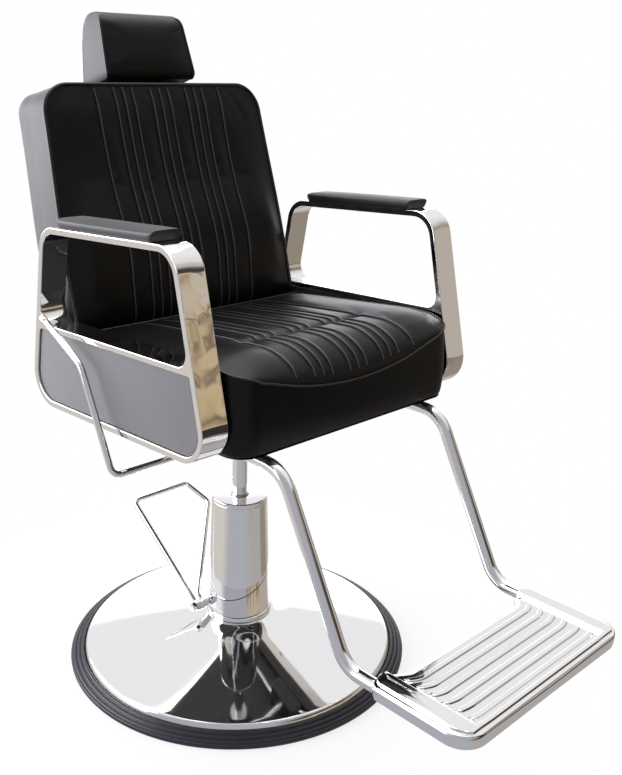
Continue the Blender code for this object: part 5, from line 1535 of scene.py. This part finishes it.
for vert in head_case.vertices:
    y = vert.co.y - PIVOT[0]
    z = vert.co.z - PIVOT[1]
    v = y * math.sin(TILT) + z * math.cos(TILT)
    w = z * math.sin(TILT) - y * math.cos(TILT)
    vert.co = back_place((vert.co.x, v + head_dome(v, w), w))
head = dress("headrest_case", head_case, LEATHER, "headrest", ["headrest_pad"], 75.0, False)
# The sideways faces of the headrest get the leather copy painted lighter for the window's light.
sides_painted_lighter(head, panel_faces(head_stuffed), 0.6)

# %% Neck of the headrest
NECK_WIDE = 0.168
NECK_EDGE = 0.0015
neck_line = [(0.0328, 0.4908), (0.0328, 0.5250), (0.0302, 0.5250), (0.0062, 0.4970), (-0.0258, 0.4970),
             (-0.0258, 0.4908)]
neck_loop = [tuple(p) for p in round_corners(neck_line, (0.0025, 0.0012, 0.0012, 0.003, 0.002, 0.002), 5)]
neck_mesh = flat_bar("headrest_wedge", [neck_loop], NECK_WIDE, NECK_EDGE)
for vert in neck_mesh.vertices:
    vert.co = back_place((vert.co.x, vert.co.z, -vert.co.y))
# The wedge wears the leather copy painted lighter for the window's light.
neck = dress("headrest_wedge", neck_mesh, SIDE_LEATHER_LIT, "headrest", ["headrest_neck"], 40.0)

# %% [markdown]
# ## Arm pads and side panels
#
# A thin pad is screwed on top of each arm, and a wrapped panel fills the lower half of each loop. A pad is
# a small cushion, so it is drawn and stuffed as the seat is. A panel is a board with a thin skin of foam,
# so rings of its outline that shrink towards the middle and rise a little are enough.


# %% Form of an arm pad
PAD_REAR = 0.104
PAD_FRONT = -0.162
PAD_LONG = PAD_REAR - PAD_FRONT
PAD_HALF = 0.028
PAD_THICK = 0.017
PAD_ROUND = 0.020
PAD_NOSE = 0.016
PAD_X = ARM_IN + 0.0225
PAD_GAP = 0.0003
ARM_TOP = (ARM_CORNERS[0], ARM_CORNERS[1])


def pad_half(s):
    """Half width of a pad, with rounded rear corners and a crisp front end."""
    behind = max(0.0, PAD_ROUND - s * PAD_LONG)
    rear = PAD_ROUND - math.sqrt(max(0.0, PAD_ROUND ** 2 - behind ** 2))
    return PAD_HALF - 0.6 * rear - PAD_HALF * 0.05 * max(0.0, (s - 0.97) / 0.03) ** 2


def pad_point(a, s):
    """Place on the top of a pad; s runs from 0 at the rear to 1 in front."""
    y = PAD_REAR + (PAD_FRONT - PAD_REAR) * s
    side = 1.0 - min(1.0, abs(a) / PAD_HALF) ** 8.0
    nose = min(1.0, s * PAD_LONG / PAD_NOSE)
    end = math.sqrt(1.0 - (1.0 - nose) ** 2) * (1.0 - 0.06 * ease(0.985, 1.0, s))
    return y, float(PAD_THICK * (0.45 + 0.55 * side * end + 0.22 * (1.0 - side) * end))


def on_arm(points, side):
    """Carry a pad's own points onto the top of one arm."""
    spots = np.array(points)
    spots[..., 0] = side * (PAD_X + points[..., 0])
    spots[..., 2] = line_at(ARM_TOP, points[..., 1]) + PAD_GAP + points[..., 2]
    return spots


print("arm pad", round(PAD_LONG, 3), "long")

# %% Arm pads
PAD_PLUMP = 0.0022

pad_columns, pad_shares = columns_for(PAD_HALF, 0.010, (), 0.0035)
pad_rows = [0.0, 0.002, 0.006, 0.012, 0.02, 0.03, 0.042, 0.056, 0.075, 0.10, *np.linspace(0.14, 0.88, 24)]
pad_rows += [0.90, 0.92, 0.94, 0.955, 0.97, 0.98, 0.99, 1.0]
pad_local = panel_grid(pad_columns, pad_shares, pad_rows, pad_half, pad_point)
pad_held = hold_edge(np.zeros(pad_local.shape[:2]))
pad_under = np.array(pad_local)
for j, s in enumerate(pad_rows):
    pad_under[j, :, 0] *= 0.90
    pad_under[j, :, 1] = PAD_REAR - 0.002 + (PAD_FRONT + 0.004 - PAD_REAR + 0.002) * s
    pad_under[j, :, 2] = 0.0
pad_boxing = [(t, 0.0010 * math.sin(math.pi * t)) for t in (0.08, 0.2, 0.4, 0.6, 0.8, 0.93, 1.0)]
for word, side in SIDES:
    name = "arm_cushion_" + word
    pad_top = stuffed("arm_pad_" + word, on_arm(pad_local, side), pad_held, (0, 0, 1), PAD_PLUMP)
    pad_case = case_mesh(name, pad_top, on_arm(pad_under, side), pad_boxing)
    pad = dress(name, pad_case, PAD_LEATHER, "seat", ["arm_pad_" + word], 70.0, False)

# %% Side panels
PANEL_GAP = 0.0006
PANEL_ROUNDS = (0.0094, 0.0034, 0.0394, 0.0434)
PANEL_IN = ARM_OUT - 0.018
PANEL_OUT = ARM_OUT - 0.0040
PANEL_CROWN = 0.0010
PANEL_STEP = 0.008
EDGE_FORM = [(1.0, 0.0), (1.0, 0.35), (1.0, 0.75), (0.9965, 0.92), (0.990, 0.985)]
CROWN_FORM = (0.98, 0.96, 0.92, 0.86, 0.78, 0.68, 0.56, 0.42, 0.28, 0.14)


def wrapped_panel(name, outline):
    """A thin padded panel: rings of its outline from the edge to the middle, crowned outwards."""
    bm = bmesh.new()
    middle = sum((Vector(p) for p in outline), Vector((0.0, 0.0))) / len(outline)
    steps = [(share, PANEL_IN + (PANEL_OUT - PANEL_IN) * height) for share, height in EDGE_FORM]
    steps += [(share, PANEL_OUT + PANEL_CROWN * (1.0 - share ** 3)) for share in CROWN_FORM]
    loops = []
    for share, x in steps:
        loops.append([bm.verts.new((x, *(middle + (Vector(p) - middle) * share))) for p in outline])
    loops.append([bm.verts.new((PANEL_OUT + PANEL_CROWN, *middle))])
    for outer_loop, inner_loop in zip(loops, loops[1:]):
        bridge(bm, outer_loop, inner_loop)
    bm.faces.new(loops[0])
    return closed_mesh(name, bm)


panel_loop = round_corners(moved_in(lower_corners, PANEL_GAP), PANEL_ROUNDS, 14)
panel_line = []
for k, point in enumerate(panel_loop):
    ahead = panel_loop[(k + 1) % len(panel_loop)]
    count = max(1, int((ahead - point).length / PANEL_STEP))
    panel_line += [tuple(point.lerp(ahead, n / count)) for n in range(count)]
for word, side in SIDES:
    name = "side_cover_" + word
    side_mesh = wrapped_panel(name, panel_line)
    if side < 0:
        side_mesh.transform(Matrix.Scale(-1.0, 4, (1.0, 0.0, 0.0)))
        side_mesh.flip_normals()
    node = "side_panel_" + word
    # The side panel wears the leather copy painted lightest for the window's light.
    cover = dress(name, side_mesh, PANEL_LEATHER_LIT, "seat", [node], 60.0, False)

# %% [markdown]
# ## Piping and stitches
#
# A cord of leather closes the seams of the seat, the back and the headrest. A row of stitches runs beside
# every tuck, and beside each tuck a thin raised cord in a much lighter leather tone is a painted highlight:
# it stands for the fine light line on the pressed edge of the fold. Cords and highlight cords use the bar
# tree;
# the stitches have a tree of their own that sets a small grain of thread at even steps along a line and turns
# it to follow the line.

# %% Tree for stitches
STITCH_TREE, st_in, st_out = new_tree("stitches_on_path", [("Pitch", "NodeSocketFloat", 0.005),
                                                           ("Length", "NodeSocketFloat", 0.0034),
                                                           ("Thickness", "NodeSocketFloat", 0.0005),
                                                           ("Finish", "NodeSocketMaterial", None)])
st_curve = add(STITCH_TREE, "GeometryNodeMeshToCurve")
st_step = add(STITCH_TREE, "GeometryNodeResampleCurve", mode="LENGTH")
st_grain = add(STITCH_TREE, "GeometryNodeMeshUVSphere", {"Segments": 6, "Rings": 4, "Radius": 0.5})
st_size = add(STITCH_TREE, "ShaderNodeCombineXYZ")
st_shape = add(STITCH_TREE, "GeometryNodeTransform")
st_way = add(STITCH_TREE, "GeometryNodeInputTangent")
st_turn = add(STITCH_TREE, "FunctionNodeAlignRotationToVector", axis="Z")
st_place = add(STITCH_TREE, "GeometryNodeInstanceOnPoints")
st_real = add(STITCH_TREE, "GeometryNodeRealizeInstances")
st_paint = add(STITCH_TREE, "GeometryNodeSetMaterial")
join(STITCH_TREE, st_in.outputs["Geometry"], st_curve.inputs["Mesh"])
join(STITCH_TREE, st_curve.outputs["Curve"], st_step.inputs["Curve"])
join(STITCH_TREE, st_in.outputs["Pitch"], st_step.inputs["Length"])
for label in ("X", "Y"):
    join(STITCH_TREE, st_in.outputs["Thickness"], st_size.inputs[label])
join(STITCH_TREE, st_in.outputs["Length"], st_size.inputs["Z"])
join(STITCH_TREE, st_grain.outputs["Mesh"], st_shape.inputs["Geometry"])
join(STITCH_TREE, st_size.outputs["Vector"], st_shape.inputs["Scale"])
join(STITCH_TREE, st_step.outputs["Curve"], st_place.inputs["Points"])
join(STITCH_TREE, st_shape.outputs["Geometry"], st_place.inputs["Instance"])
join(STITCH_TREE, st_way.outputs["Tangent"], st_turn.inputs["Vector"])
join(STITCH_TREE, st_turn.outputs["Rotation"], st_place.inputs["Rotation"])
join(STITCH_TREE, st_place.outputs["Instances"], st_real.inputs["Geometry"])
join(STITCH_TREE, st_real.outputs["Geometry"], st_paint.inputs["Geometry"])
join(STITCH_TREE, st_in.outputs["Finish"], st_paint.inputs["Material"])
join(STITCH_TREE, st_paint.outputs["Geometry"], st_out.inputs["Geometry"])
print("stitch tree", len(STITCH_TREE.nodes), "nodes")


# %% Lines to sew along
def seam_line(panel, away):
    """The seam of a panel, moved a little away from its middle."""
    ring = [Vector(panel[j, i]) for j, i in border(*panel.shape[:2])]
    middle = sum(ring, Vector()) / len(ring)
    line = []
    for n, spot in enumerate(ring):
        run = (ring[(n + 1) % len(ring)] - ring[n - 1]).normalized()
        out = spot - middle
        out -= run * out.dot(run)
        step = spot + out.normalized() * away
        if not line or (step - line[-1]).length > 0.0015:
            line.append(step)
    return line


def tuck_lines(panel, local, beside, lift, first, last):
    """Lines that follow each tuck of a panel, a little beside it; the ends sink into the leather."""
    lines = []
    count = panel.shape[0] - first - last
    for x in SEWN:
        column = int(np.argmin(np.abs(local[0, :, 0] - (x + beside))))
        line = []
        for n, spot in enumerate(panel[first:panel.shape[0] - last, column]):
            sink = max(0.0, 1.0 - n / 4.0, 1.0 - (count - 1 - n) / 4.0)
            line.append(Vector(spot) + lift * (1.0 - 3.0 * sink))
        lines.append(line)
    return lines


HEAD_CORD_END = 6
CORD_SINK = ((0, 0.05), (1, 0.03), (-1, 0.05), (-2, 0.03), (-3, 0.015))
head_middle = Vector(head_stuffed[len(head_rows) // 2, head_stuffed.shape[1] // 2])
head_seams = []
for edge in (0, -1):
    seam = [Vector(p) for p in head_stuffed[:-HEAD_CORD_END, edge]]
    for n, share in CORD_SINK:
        seam[n] = seam[n].lerp(head_middle, share)
    head_seams.append(seam)
print("headrest seams", [len(seam) for seam in head_seams], "points")


# %% Piping
def cord_piece(name, lines, closed, radius, sides, finish, body):
    """A round cord of leather along lines."""
    mesh = grown(name, BAR_TREE, lines, closed, Radius=radius, Sides=sides, Finish=finish)
    return dress(name, mesh, finish, body, (), 60.0, False)


cord_piece("seat_piping", [seam_line(seat_stuffed, 0.0004)], True, 0.0017, 12, PIPING, "seat")
cord_piece("back_piping", [seam_line(back_stuffed, 0.0002)], True, 0.0032, 14, PIPING, "back")
cord_piece("headrest_piping", head_seams, False, 0.0019, 12, PIPING, "headrest")

# %% Stitches and painted fold highlights
STITCH = {"Pitch": 0.005, "Length": 0.0034, "Thickness": 0.0007, "Finish": THREAD}
STITCH_BESIDE = -0.0030
STITCH_LIFT = 0.0002
HIGHLIGHT_BESIDE = 0.0022
HIGHLIGHT_LIFT = 0.0003
HIGHLIGHT_R = 0.0011
UP = Vector((0.0, 0.0, 1.0))
TUCKED = (("seat", seat_stuffed, seat_panel, UP, 3, 6),
          ("back", back_stuffed, back_local, Vector(BACK_FACE), 3, 4))
for body, panel, local, way, first, last in TUCKED:
    stitch_lines = tuck_lines(panel, local, STITCH_BESIDE, way * STITCH_LIFT, first, last)
    stitches = grown(body + "_stitches", STITCH_TREE, stitch_lines, **STITCH)
    dress(body + "_stitches", stitches, THREAD, body, (), 80.0, False)
# The fold cords are raised a little and painted light: they stand for the highlight on each fold's pressed
# edge.
for body, panel, local, way, first, last in TUCKED:
    highlight_lines = tuck_lines(panel, local, HIGHLIGHT_BESIDE, way * HIGHLIGHT_LIFT, first, last)
    cord_piece(body + "_fold_highlights", highlight_lines, False, HIGHLIGHT_R, 8, FOLD_HIGHLIGHT, body)

# %% [markdown]
# ## The metalwork under the seat
#
# The solids that keep their measured shape get their own finish: black paint on the welded frame, zinc on
# the fittings, plywood inside the back. They are hardly seen, so no new mesh is made for them, and the
# finish alone tells what they are made of.

# %% Finishes on the measured solids
PAINTED = ["base_plate", "pump_cylinder", "swivel_hub", "seat_plate", "lock_box"]
PLATED = ["pedal_shaft", "thrust_collar", "lever_bracket", "lock_rod", "crank_pin"]
for word, side in SIDES:
    PAINTED += ["arm_rail_" + word, "hinge_lug_" + word, "hinge_arm_" + word]
    PLATED += ["hinge_pin_" + word, "bar_guide_" + word, "headrest_bar_" + word]
    PLATED += ["foot_clamp_" + word + "_rear", "foot_clamp_" + word + "_front"]
    PLATED += ["panel_screw_" + word + "_1", "panel_screw_" + word + "_2"]
finished = set()
for finish, names in ((PAINT, PAINTED), (ZINC, PLATED), (PLYWOOD, ["back_board"])):
    for name in names:
        solid = frame["nodes"][name]
        solid.data.materials.clear()
        solid.data.materials.append(finish)
        finished.add(name)
left_plain = [n for n, o in frame["nodes"].items() if not o.hide_render and n not in finished]
print("solids with a finish", len(finished), "without", left_plain)
